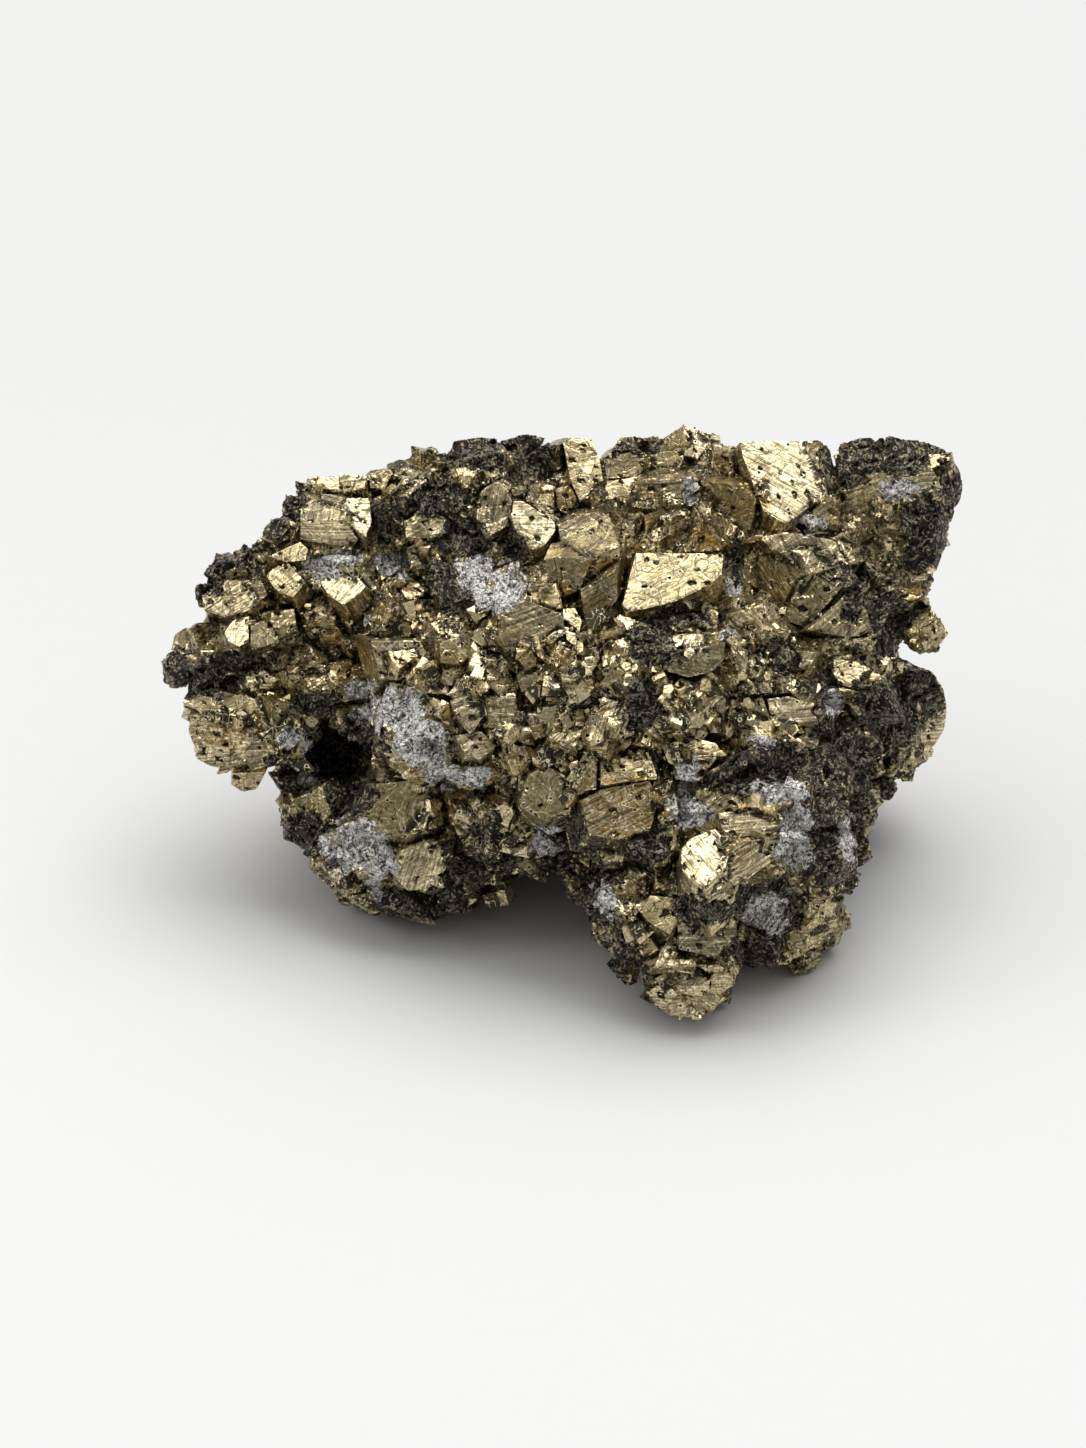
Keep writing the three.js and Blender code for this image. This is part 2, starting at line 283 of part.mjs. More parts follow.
// The back, the sides and the underside: sizes, spacing and how many tries a lump gets.
const STREWN = {
  triesPerLump: 70,
  smallest: 6,
  spread: 4.5,
  spacing: 6.2,
  sink: 1.6,
  lowest: 3.5,
  facesAway: 0.1,
  room: 0.74,
  habits: ["bevelled", "cube", "octahedron", "cube", "pyritohedron"],
};

const wasm = await Module();
wasm.setup();

const radians = THREE.MathUtils.degToRad;
const AXES = [
  new THREE.Vector3(1, 0, 0),
  new THREE.Vector3(0, 1, 0),
  new THREE.Vector3(0, 0, 1),
];

// The front view: a unit vector towards the eye, and the view's own upright.
const VIEW_HEIGHT = radians(VIEW_HEIGHT_DEG);
const TOWARDS = new THREE.Vector3(0, -Math.cos(VIEW_HEIGHT), Math.sin(VIEW_HEIGHT));
const UPRIGHT = new THREE.Vector3(0, Math.sin(VIEW_HEIGHT), Math.cos(VIEW_HEIGHT));
const EYE = VIEW_MIDDLE.clone().addScaledVector(TOWARDS, EYE_DISTANCE);

// A repeatable fraction from 0 to 1 for a whole number.
function fraction(n) {
  const x = Math.sin(n * 12.9898 + 4.137) * 43758.5453;
  return x - Math.floor(x);
}

// The line of sight through a place in the front view.
function lineOfSight(across, up) {
  const point = VIEW_MIDDLE.clone().addScaledVector(AXES[0], across).addScaledVector(UPRIGHT, up);
  return point.sub(EYE).normalize();
}

// A point in a lump's own scale, where the lump is a ball of radius 1.
function inLump(lump, point) {
  return new THREE.Vector3(
    (point.x - lump.at[0]) / lump.half[0],
    (point.y - lump.at[1]) / lump.half[1],
    (point.z - lump.at[2]) / lump.half[2],
  );
}

// How far from the eye a line of sight meets the massif. Past the massif's edge, it is where the
// line passes nearest to a lump.
function reach(direction) {
  let met = Infinity;
  let nearest = Infinity;
  let passing = EYE_DISTANCE;
  for (const lump of LUMPS) {
    const from = inLump(lump, EYE);
    const step = inLump(lump, EYE.clone().add(direction)).sub(from);
    const a = step.dot(step);
    const b = from.dot(step);
    const c = from.dot(from) - 1;
    const inside = b * b - a * c;
    if (inside > 0) met = Math.min(met, (-b - Math.sqrt(inside)) / a);
    const gap = c - (b * b) / a;
    if (gap < nearest) {
      nearest = gap;
      passing = -b / a;
    }
  }
  return met < Infinity ? met : passing;
}

// Whether a line of sight passes through the massif's lumps, taken at a share of their size.
function meets(direction, share) {
  return LUMPS.some((lump) => {
    const from = inLump(lump, EYE);
    const step = inLump(lump, EYE.clone().add(direction)).sub(from);
    return from.dot(from) - from.dot(step) ** 2 / step.dot(step) < share * share;
  });
}

// Whether a ball of this radius lies inside the outline of the massif in the front view.
function insideOutline(centre, radius) {
  return [0, 60, 120, 180, 240, 300].map(radians).every((angle) => {
    const edge = centre
      .clone()
      .addScaledVector(AXES[0], radius * Math.cos(angle))
      .addScaledVector(UPRIGHT, radius * Math.sin(angle));
    return meets(edge.sub(EYE).normalize(), 1);
  });
}

// A unit vector for a compass and a height in degrees.
function facing(look) {
  const [compass, height] = look.map(radians);
  return new THREE.Vector3(
    Math.sin(compass) * Math.cos(height),
    -Math.cos(compass) * Math.cos(height),
    Math.sin(height),
  );
}

// The turn that brings a crystal's own +Z to the way its main face looks.
function turnOf(look, roll) {
  const turn = new THREE.Quaternion().setFromUnitVectors(AXES[2], facing(look));
  return turn.multiply(new THREE.Quaternion().setFromAxisAngle(AXES[2], radians(roll)));
}

// The planes of a habit: unit normals and distances from the centre, for a size of 2.
function planesOf(habit) {
  const planes = [];
  const add = (x, y, z, distance) =>
    planes.push({ normal: new THREE.Vector3(x, y, z).normalize(), distance });
  const signs = [1, -1];
  const forms = HABITS[habit];
  for (const s of signs) {
    if (forms.cube) {
      add(s, 0, 0, forms.cube);
      add(0, s, 0, forms.cube);
      add(0, 0, s, forms.cube);
    }
    for (const t of signs) {
      if (forms.pyritohedron) {
        add(2 * s, t, 0, forms.pyritohedron);
        add(0, 2 * s, t, forms.pyritohedron);
        add(t, 0, 2 * s, forms.pyritohedron);
      }
      if (forms.octahedron) for (const u of signs) add(s, t, u, forms.octahedron);
    }
  }
  return planes;
}

// The corners where three planes of a habit meet and no other plane cuts them off.
function cornersOf(habit) {
  const planes = planesOf(habit);
  const corners = [];
  const slack = 1e-6;
  for (let i = 0; i < planes.length; i++)
    for (let j = i + 1; j < planes.length; j++)
      for (let k = j + 1; k < planes.length; k++) {
        const [p, q, r] = [planes[i], planes[j], planes[k]];
        const qr = q.normal.clone().cross(r.normal);
        const span = p.normal.dot(qr);
        if (Math.abs(span) < slack) continue;
        const corner = qr
          .multiplyScalar(p.distance)
          .addScaledVector(r.normal.clone().cross(p.normal), q.distance)
          .addScaledVector(p.normal.clone().cross(q.normal), r.distance)
          .divideScalar(span);
        if (planes.some((m) => m.normal.dot(corner) > m.distance + slack)) continue;
        if (corners.some((c) => c.distanceTo(corner) < 1e-4)) continue;
        corners.push(corner);
      }
  return corners;
}

const CORNERS = Object.fromEntries(Object.keys(HABITS).map((habit) => [habit, cornersOf(habit)]));

// A three.js geometry as a solid, and back.
function solidOf(geometry) {
  const bare = geometry.clone();
  for (const name of ["normal", "uv"]) bare.deleteAttribute(name);
  const merged = mergeVertices(bare, 1e-4);
  return new wasm.Manifold(
    new wasm.Mesh({
      numProp: 3,
      vertProperties: merged.attributes.position.array,
      triVerts: new Uint32Array(merged.index.array),
    }),
  );
}

function geometryOf(solid) {
  const mesh = solid.getMesh();
  const positions = new Float32Array(mesh.vertProperties);
  return new THREE.BufferGeometry()
    .setAttribute("position", new THREE.BufferAttribute(positions, mesh.numProp))
    .setIndex(new THREE.BufferAttribute(mesh.triVerts, 1));
}

function crystalSolid(habit, size, stretch, centre, turn) {
  const geometry = new ConvexGeometry(CORNERS[habit]);
  geometry.scale(...stretch.map((s) => (s * size) / 2));
  geometry.applyQuaternion(turn);
  geometry.translate(centre.x, centre.y, centre.z);
  return solidOf(geometry);
}

// The point on the massif in the front view, raised towards the eye.
function onMassif(across, up, proud) {
  const direction = lineOfSight(across, up);
  return EYE.clone().addScaledVector(direction, reach(direction) - proud);
}

// The middle of an outline in the front view.
function middleOf(outline) {
  return [0, 1].map((k) => outline.reduce((sum, corner) => sum + corner[k], 0) / outline.length);
}

// How far from the eye a line of sight meets the plane of a crystal's main face.
function alongTo(face, direction) {
  const middle = EYE.clone().addScaledVector(face.direction, face.distance);
  return middle.sub(EYE).dot(face.normal) / direction.dot(face.normal);
}

// The planes of the main faces. Where two outlines share a corner, both faces are moved along
// the line of sight, a little at a time, until they nearly meet there, as faces of one crystal
// and crystals that grew against each other do.
function levelledFaces() {
  const faces = FACED_CRYSTALS.map(({ outline, look, proud }) => {
    const direction = lineOfSight(...middleOf(outline));
    const start = reach(direction) - proud;
    return { direction, normal: facing(look), start, distance: start };
  });
  const shared = [];
  FACED_CRYSTALS.forEach((one, i) =>
    FACED_CRYSTALS.slice(i + 1).forEach((other, k) => {
      for (const a of one.outline)
        for (const b of other.outline)
          if (Math.hypot(a[0] - b[0], a[1] - b[1]) < SAME_CORNER)
            shared.push([i, i + 1 + k, lineOfSight((a[0] + b[0]) / 2, (a[1] + b[1]) / 2)]);
    }),
  );
  for (let round = 0; round < LEVELLING_ROUNDS; round++) {
    const moves = faces.map((face) => ({ sum: LEVELLING_PULL * (face.start - face.distance), count: LEVELLING_PULL }));
    for (const [i, j, direction] of shared) {
      const step = (alongTo(faces[j], direction) - alongTo(faces[i], direction)) / 2;
      moves[i].sum += step;
      moves[j].sum -= step;
      moves[i].count++;
      moves[j].count++;
    }
    faces.forEach((face, i) => (face.distance += moves[i].sum / moves[i].count));
  }
  return faces;
}

// A crystal with a known main face: its corners lie where the lines of sight meet the face's
// plane, and its sides slope out behind the face, less so at the outline of the specimen.
function facedCrystal({ outline, depth, flare }, face) {
  const middle = EYE.clone().addScaledVector(face.direction, face.distance);
  const front = outline.map((corner) => {
    const direction = lineOfSight(...corner);
    return EYE.clone().addScaledVector(direction, alongTo(face, direction));
  });
  const back = front.map((corner) => {
    const out = corner.clone().sub(middle);
    const wide = 1 + Math.min(SKIRT_SHARE, SKIRT / out.length());
    const skirt = out.clone().multiplyScalar(wide).add(middle).addScaledVector(face.normal, -depth);
    const inside = flare > 1 && meets(skirt.clone().sub(EYE).normalize(), 0.97);
    return inside ? skirt : out.multiplyScalar(flare).add(middle).addScaledVector(face.normal, -depth);
  });
  return solidOf(new ConvexGeometry([...front, ...back]));
}

function knobCrystal({ habit, across, up, size, proud }) {
  const seed = Math.round(100 * across + 1000 * up);
  const look = [50 * (fraction(seed) - 0.5), 20 + 45 * fraction(seed + 1)];
  const turn = turnOf(look, 90 * fraction(seed + 2));
  return crystalSolid(habit, size, [1, 1, 1], onMassif(across, up, proud), turn);
}

// The point of an outline that is nearest to a place in the front view, how far away it is, and
// whether the place is inside.
function nearestOn(outline, [across, up]) {
  let found = { far: Infinity, inside: false };
  let inside = false;
  outline.forEach(([x, y], i) => {
    const [u, v] = outline[(i + 1) % outline.length];
    const along = ((across - x) * (u - x) + (up - y) * (v - y)) / ((u - x) ** 2 + (v - y) ** 2);
    const t = Math.min(1, Math.max(0, along));
    const place = [x + t * (u - x), y + t * (v - y)];
    const far = Math.hypot(across - place[0], up - place[1]);
    if (far < found.far) found = { far, place };
    if (v > up !== y > up && across < ((x - u) * (up - v)) / (y - v) + u) inside = !inside;
  });
  return { ...found, inside };
}

// What a line through a place leaves of an outline, on the side that its normal points away from.
function cutAlong(outline, place, normal) {
  const past = (corner) => (corner[0] - place[0]) * normal[0] + (corner[1] - place[1]) * normal[1];
  return outline.flatMap((corner, i) => {
    const next = outline[(i + 1) % outline.length];
    const [here, there] = [past(corner), past(next)];
    const t = here / (here - there);
    const crossing = [corner[0] + t * (next[0] - corner[0]), corner[1] + t * (next[1] - corner[1])];
    const kept = here <= 0 ? [corner] : [];
    return here < 0 !== there < 0 && here !== there ? [...kept, crossing] : kept;
  });
}

// The area of an outline.
function areaOf(outline) {
  return Math.abs(
    outline.reduce((sum, [x, y], i) => {
      const [u, v] = outline[(i + 1) % outline.length];
      return sum + (x * v - u * y) / 2;
    }, 0),
  );
}

// Crystals on a shaken grid over the front, grown until they meet each other and the faced ones.
function fillingCrystals() {
  const places = [];
  let seed = 500;
  for (let across = -40; across < 42; across += FILLING.step)
    for (let up = -30; up < 30; up += FILLING.step) {
      seed += 7;
      const a = across + FILLING.shake * (2 * fraction(seed) - 1);
      const u = up + FILLING.shake * (2 * fraction(seed + 1) - 1);
      const covered = FACED_CRYSTALS.some(({ outline }) => nearestOn(outline, [a, u]).inside);
      if (!covered && meets(lineOfSight(a, u), 0.97)) places.push({ at: [a, u], seed });
    }
  return places.flatMap(({ at, seed }) => {
    let outline = Array.from({ length: FILLING.corners }, (_, k) => {
      const angle = (2 * Math.PI * (k + 0.6 * fraction(seed + 20 + k))) / FILLING.corners;
      return [at[0] + FILLING.widest * Math.cos(angle), at[1] + FILLING.widest * Math.sin(angle)];
    });
    const walls = places
      .filter((other) => other.at !== at)
      .map((other) => [(at[0] + other.at[0]) / 2, (at[1] + other.at[1]) / 2]);
    walls.push(...FACED_CRYSTALS.map((crystal) => nearestOn(crystal.outline, at).place));
    for (const wall of walls) {
      const normal = [wall[0] - at[0], wall[1] - at[1]];
      if (Math.hypot(...normal) < 2 * FILLING.widest) outline = cutAlong(outline, wall, normal);
    }
    const shapes = FILLING.shrinks.map((share) =>
      outline.map((corner) => corner.map((c, k) => at[k] + share * (c - at[k]))),
    );
    const shape = shapes.find((s) => s.every((corner) => meets(lineOfSight(...corner), 0.99)));
    if (!shape || areaOf(shape) < FILLING.smallest) return [];
    const look = [
      FILLING.compass * (fraction(seed + 3) - 0.5),
      FILLING.lowest + (FILLING.highest - FILLING.lowest) * fraction(seed + 4),
    ];
    const direction = lineOfSight(...middleOf(shape));
    const rise = CRYSTAL_RISE + FILLING.proud + FILLING.spread * (fraction(seed + 5) - 0.5);
    const face = { direction, normal: facing(look), distance: reach(direction) - rise };
    return [facedCrystal({ outline: shape, depth: FILLING.depth, flare: FILLING.flare }, face)];
  });
}

// A lump: a ball of flat faces, each corner moved in or out a little, stretched to its lengths.
function lumpSolid(lump, index) {
  const geometry = new THREE.IcosahedronGeometry(1, LUMP_DETAIL);
  const merged = mergeVertices(
    new THREE.BufferGeometry().setAttribute("position", geometry.attributes.position),
    1e-4,
  );
  const positions = merged.attributes.position;
  for (let i = 0; i < positions.count; i++) {
    const point = new THREE.Vector3().fromBufferAttribute(positions, i);
    point.multiplyScalar(1 + LUMP_ROUGHNESS * (2 * fraction(i + 97 * index) - 1));
    positions.setXYZ(i, point.x, point.y, point.z);
  }
  merged.scale(...lump.half);
  merged.translate(...lump.at);
  return solidOf(merged);
}

// A hollow: a ball of flat faces, stretched to its lengths along the view's own directions.
function hollowSolid({ across, up, behind, half }) {
  const direction = lineOfSight(across, up);
  const centre = EYE.clone().addScaledVector(direction, reach(direction) + behind);
  const geometry = new THREE.IcosahedronGeometry(1, LUMP_DETAIL);
  const merged = mergeVertices(
    new THREE.BufferGeometry().setAttribute("position", geometry.attributes.position),
    1e-4,
  );
  merged.scale(...half);
  merged.applyMatrix4(new THREE.Matrix4().makeBasis(AXES[0], UPRIGHT, TOWARDS));
  merged.translate(centre.x, centre.y, centre.z);
  return solidOf(merged);
}

// Crystals strewn over what the front view doesn't show, spaced apart, growing outwards.
function strewnCrystals() {
  const placed = [];
  const golden = Math.PI * (3 - Math.sqrt(5));
  LUMPS.forEach((lump, index) => {
    for (let i = 0; i < STREWN.triesPerLump; i++) {
      const height = 1 - (2 * (i + 0.5)) / STREWN.triesPerLump;
      const ring = Math.sqrt(1 - height * height);
      const angle = i * golden + index;
      const unit = new THREE.Vector3(ring * Math.cos(angle), ring * Math.sin(angle), height);
      const point = new THREE.Vector3(...lump.half).multiply(unit);
      point.add(new THREE.Vector3(...lump.at));
      const outwards = unit.clone().divide(new THREE.Vector3(...lump.half)).normalize();
      const seen = outwards.dot(TOWARDS) > -STREWN.facesAway;
      const buried = LUMPS.some((other) => other !== lump && inLump(other, point).length() < 1.02);
      const crowded = placed.some((p) => p.centre.distanceTo(point) < STREWN.spacing);
      const seed = 100 * index + i;
      const size = STREWN.smallest + STREWN.spread * fraction(seed) ** 2;
      const shows = !insideOutline(point, STREWN.room * size);
      if (seen || buried || crowded || shows || point.z < STREWN.lowest) continue;
      const turn = new THREE.Quaternion().setFromUnitVectors(AXES[2], outwards);
      const lean = new THREE.Euler(fraction(seed + 1) - 0.5, fraction(seed + 2) - 0.5, 0);
      turn.multiply(new THREE.Quaternion().setFromEuler(lean));
      turn.multiply(
        new THREE.Quaternion().setFromAxisAngle(AXES[2], 2 * Math.PI * fraction(seed + 3)),
      );
      const centre = point.addScaledVector(outwards, -STREWN.sink);
      const habit = STREWN.habits[Math.floor(STREWN.habits.length * fraction(seed + 4))];
      placed.push({ centre, size, turn, habit });
    }
  });
  return placed.map((p) => crystalSolid(p.habit, p.size, [1, 1, 1], p.centre, p.turn));
}

// Everything below the ground, which the low points are worn flat against.
function ground() {
  const block = new THREE.BoxGeometry(GROUND_BLOCK, GROUND_BLOCK, GROUND_BLOCK);
  block.translate(0, 0, -GROUND_BLOCK / 2);
  return solidOf(block);
}

// The edges where two parts of the surface touch along a line, as pairs of end points.
function pinchedEdges(solid) {
  const { vertProperties, triVerts, numProp } = solid.getMesh();
  const placeOf = (v) =>
    [0, 1, 2].map((k) => vertProperties[v * numProp + k].toFixed(4)).join(" ");
  const uses = new Map();
  for (let i = 0; i < triVerts.length; i += 3)
    for (const [a, b] of [[0, 1], [1, 2], [2, 0]]) {
      const key = [placeOf(triVerts[i + a]), placeOf(triVerts[i + b])].sort().join(",");
      uses.set(key, (uses.get(key) ?? 0) + 1);
    }
  return [...uses]
    .filter(([, count]) => count > 2)
    .map(([key]) => key.split(",").map((place) => place.split(" ").map(Number)));
}

// The solid with a thin bead grown along every pinched edge, so that it has one closed surface.
function mended(solid) {
  const bead = solidOf(new THREE.OctahedronGeometry(BEAD_RADIUS));
  let whole = solid;
  for (let round = 0; round < MENDING_ROUNDS; round++) {
    const edges = pinchedEdges(whole);
    if (!edges.length) break;
    const beads = edges.map(([a, b]) => wasm.Manifold.hull([bead.translate(a), bead.translate(b)]));
    whole = wasm.Manifold.union([whole, ...beads]);
  }
  return whole;
}

function specimen() {
  const faces = levelledFaces();
  const grown = wasm.Manifold.union([
    ...LUMPS.map(lumpSolid),
    ...FACED_CRYSTALS.map((crystal, i) => facedCrystal(crystal, faces[i])),
    ...EDGE_KNOBS.map(knobCrystal),
    ...fillingCrystals(),
    ...strewnCrystals(),
  ]);
  const material = new THREE.MeshStandardMaterial({
    color: 0x8a7b52,
    metalness: 0.9,
    roughness: 0.35,
    flatShading: true,
  });
  const cut = wasm.Manifold.union([ground(), ...HOLLOWS.map(hollowSolid)]);
  const resting = grown.subtract(cut).asOriginal().simplify(FINEST_DETAIL);
  const whole = mended(resting).decompose().reduce((a, b) => (a.volume() > b.volume() ? a : b));
  const mesh = new THREE.Mesh(geometryOf(whole.translate(CENTRING)), material);
  mesh.name = "pyrite_cluster";
  return mesh;
}

const part = new THREE.Group();
part.add(specimen());

export default part;
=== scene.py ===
"""Looks of the pyrite specimen: crystals grown on a dark massif, small crystals and quartz."""

import logging
import math
from dataclasses import dataclass, field
from enum import Enum

import bmesh
import bpy
import numpy as np
from mathutils import Matrix, Vector


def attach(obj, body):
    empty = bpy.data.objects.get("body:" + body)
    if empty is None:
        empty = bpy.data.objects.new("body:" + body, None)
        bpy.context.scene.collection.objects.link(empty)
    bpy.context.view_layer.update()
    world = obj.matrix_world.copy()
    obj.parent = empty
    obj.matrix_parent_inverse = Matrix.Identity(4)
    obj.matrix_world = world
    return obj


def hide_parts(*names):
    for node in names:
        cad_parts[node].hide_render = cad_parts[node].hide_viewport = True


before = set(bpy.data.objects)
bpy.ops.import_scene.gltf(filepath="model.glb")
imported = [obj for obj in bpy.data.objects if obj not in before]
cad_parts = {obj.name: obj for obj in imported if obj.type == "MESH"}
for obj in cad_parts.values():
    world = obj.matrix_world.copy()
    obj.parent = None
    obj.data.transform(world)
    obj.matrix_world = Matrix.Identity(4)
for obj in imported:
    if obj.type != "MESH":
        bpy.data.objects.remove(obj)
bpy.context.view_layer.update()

MM = 0.001
BODY = "root"
CAD_NODE = "pyrite_cluster"
MOST_TRIANGLES = 180_000
SHARP_DEG = 24.0

logging.basicConfig(level=logging.INFO, format="%(message)s")
log = logging.getLogger("specimen")

Array = np.ndarray
Outline = tuple[tuple[float, float], ...]
Place = tuple[float, float, float]


class Habit(Enum):
    """The shapes that the strewn crystals take."""

    CUBE = "cube"
    BEVELLED = "bevelled"
    PYRITOHEDRON = "pyritohedron"
    KNOB = "knob"
    OCTAHEDRON = "octahedron"


# How far the cube, pyritohedron and octahedron faces lie from the centre; 0 leaves them out.
FORMS: dict[Habit, tuple[float, float, float]] = {
    Habit.CUBE: (1.0, 0.0, 0.0),
    Habit.BEVELLED: (1.0, 0.0, 1.42),
    Habit.PYRITOHEDRON: (0.0, 0.94, 0.0),
    Habit.KNOB: (1.0, 0.0, 1.16),
    Habit.OCTAHEDRON: (1.0, 0.0, 0.8),
}

# Lumps of the massif in millimetres: centre, then half lengths along X, Y and Z.
LUMPS: tuple[tuple[Place, Place], ...] = (
    ((4, 2, 22), (25, 16, 13.8)), ((12, 15, 32.6), (15, 8, 7.4)), ((-7, 16, 32.6), (14, 8, 7.4)),
    ((-22, 13, 28.4), (8.4, 7.5, 8.2)), ((-30.5, 8, 24), (5.6, 7, 7)), ((-30, 4, 19), (7, 6.5, 5.6)),
    ((-14, -3.5, 8.3), (11.4, 7.6, 9)), ((-23.9, 0.8, 8.6), (4.5, 5, 4.9)),
    ((17, -11.5, 14), (12, 9, 10.6)), ((12.8, -20, 6), (5, 5.4, 7)), ((24, -12.5, 4.6), (4, 4.4, 5.6)),
    ((25.4, -4.5, 13), (5.6, 7, 8.4)), ((28, 6, 23), (6, 8, 9.4)), ((34, 14, 33.6), (4.8, 5.6, 7)),
    ((32.6, 9, 13.5), (4.4, 6, 6.8)), ((36, 9, 25), (1.9, 2.6, 2.7)), ((2, 12, 15), (25, 9.4, 14.6)),
    ((1, 14.5, 25), (23, 8, 9)), ((-18, 11, 12), (9, 7.4, 13.2)), ((24, 13, 14), (9, 7.4, 15.2)),
    ((27.5, 14, 32), (5, 6, 6)), ((7.4, -15.5, 9), (5, 6, 5.4)), ((-1, -3, 10), (8, 7, 5.4)),
    ((-34.9, 5.5, 22.4), (2.5, 4.2, 4.2)), ((32.4, 11.5, 27.5), (3.9, 5, 5.6)),
)
CENTRING = (-0.02, 0.11, 0.0)


@dataclass(frozen=True)
class Faced:
    """A crystal known by the outline of its main face, in millimetres of the front view.

    `run` is the edge of the outline that the striae follow and `rough` is how much more uneven
    the crystal is than most, from 0 to 1.
    """

    outline: Outline
    look: tuple[float, float]
    proud: float = 1.2
    depth: float = 5.0
    flare: float = 1.12
    run: int = 0
    rough: float = 0.0


@dataclass(frozen=True)
class Knob:
    """A small crystal of the outline: its habit, place in the front view, size and rise."""

    habit: Habit
    across: float
    up: float
    size: float
    proud: float = 0.0


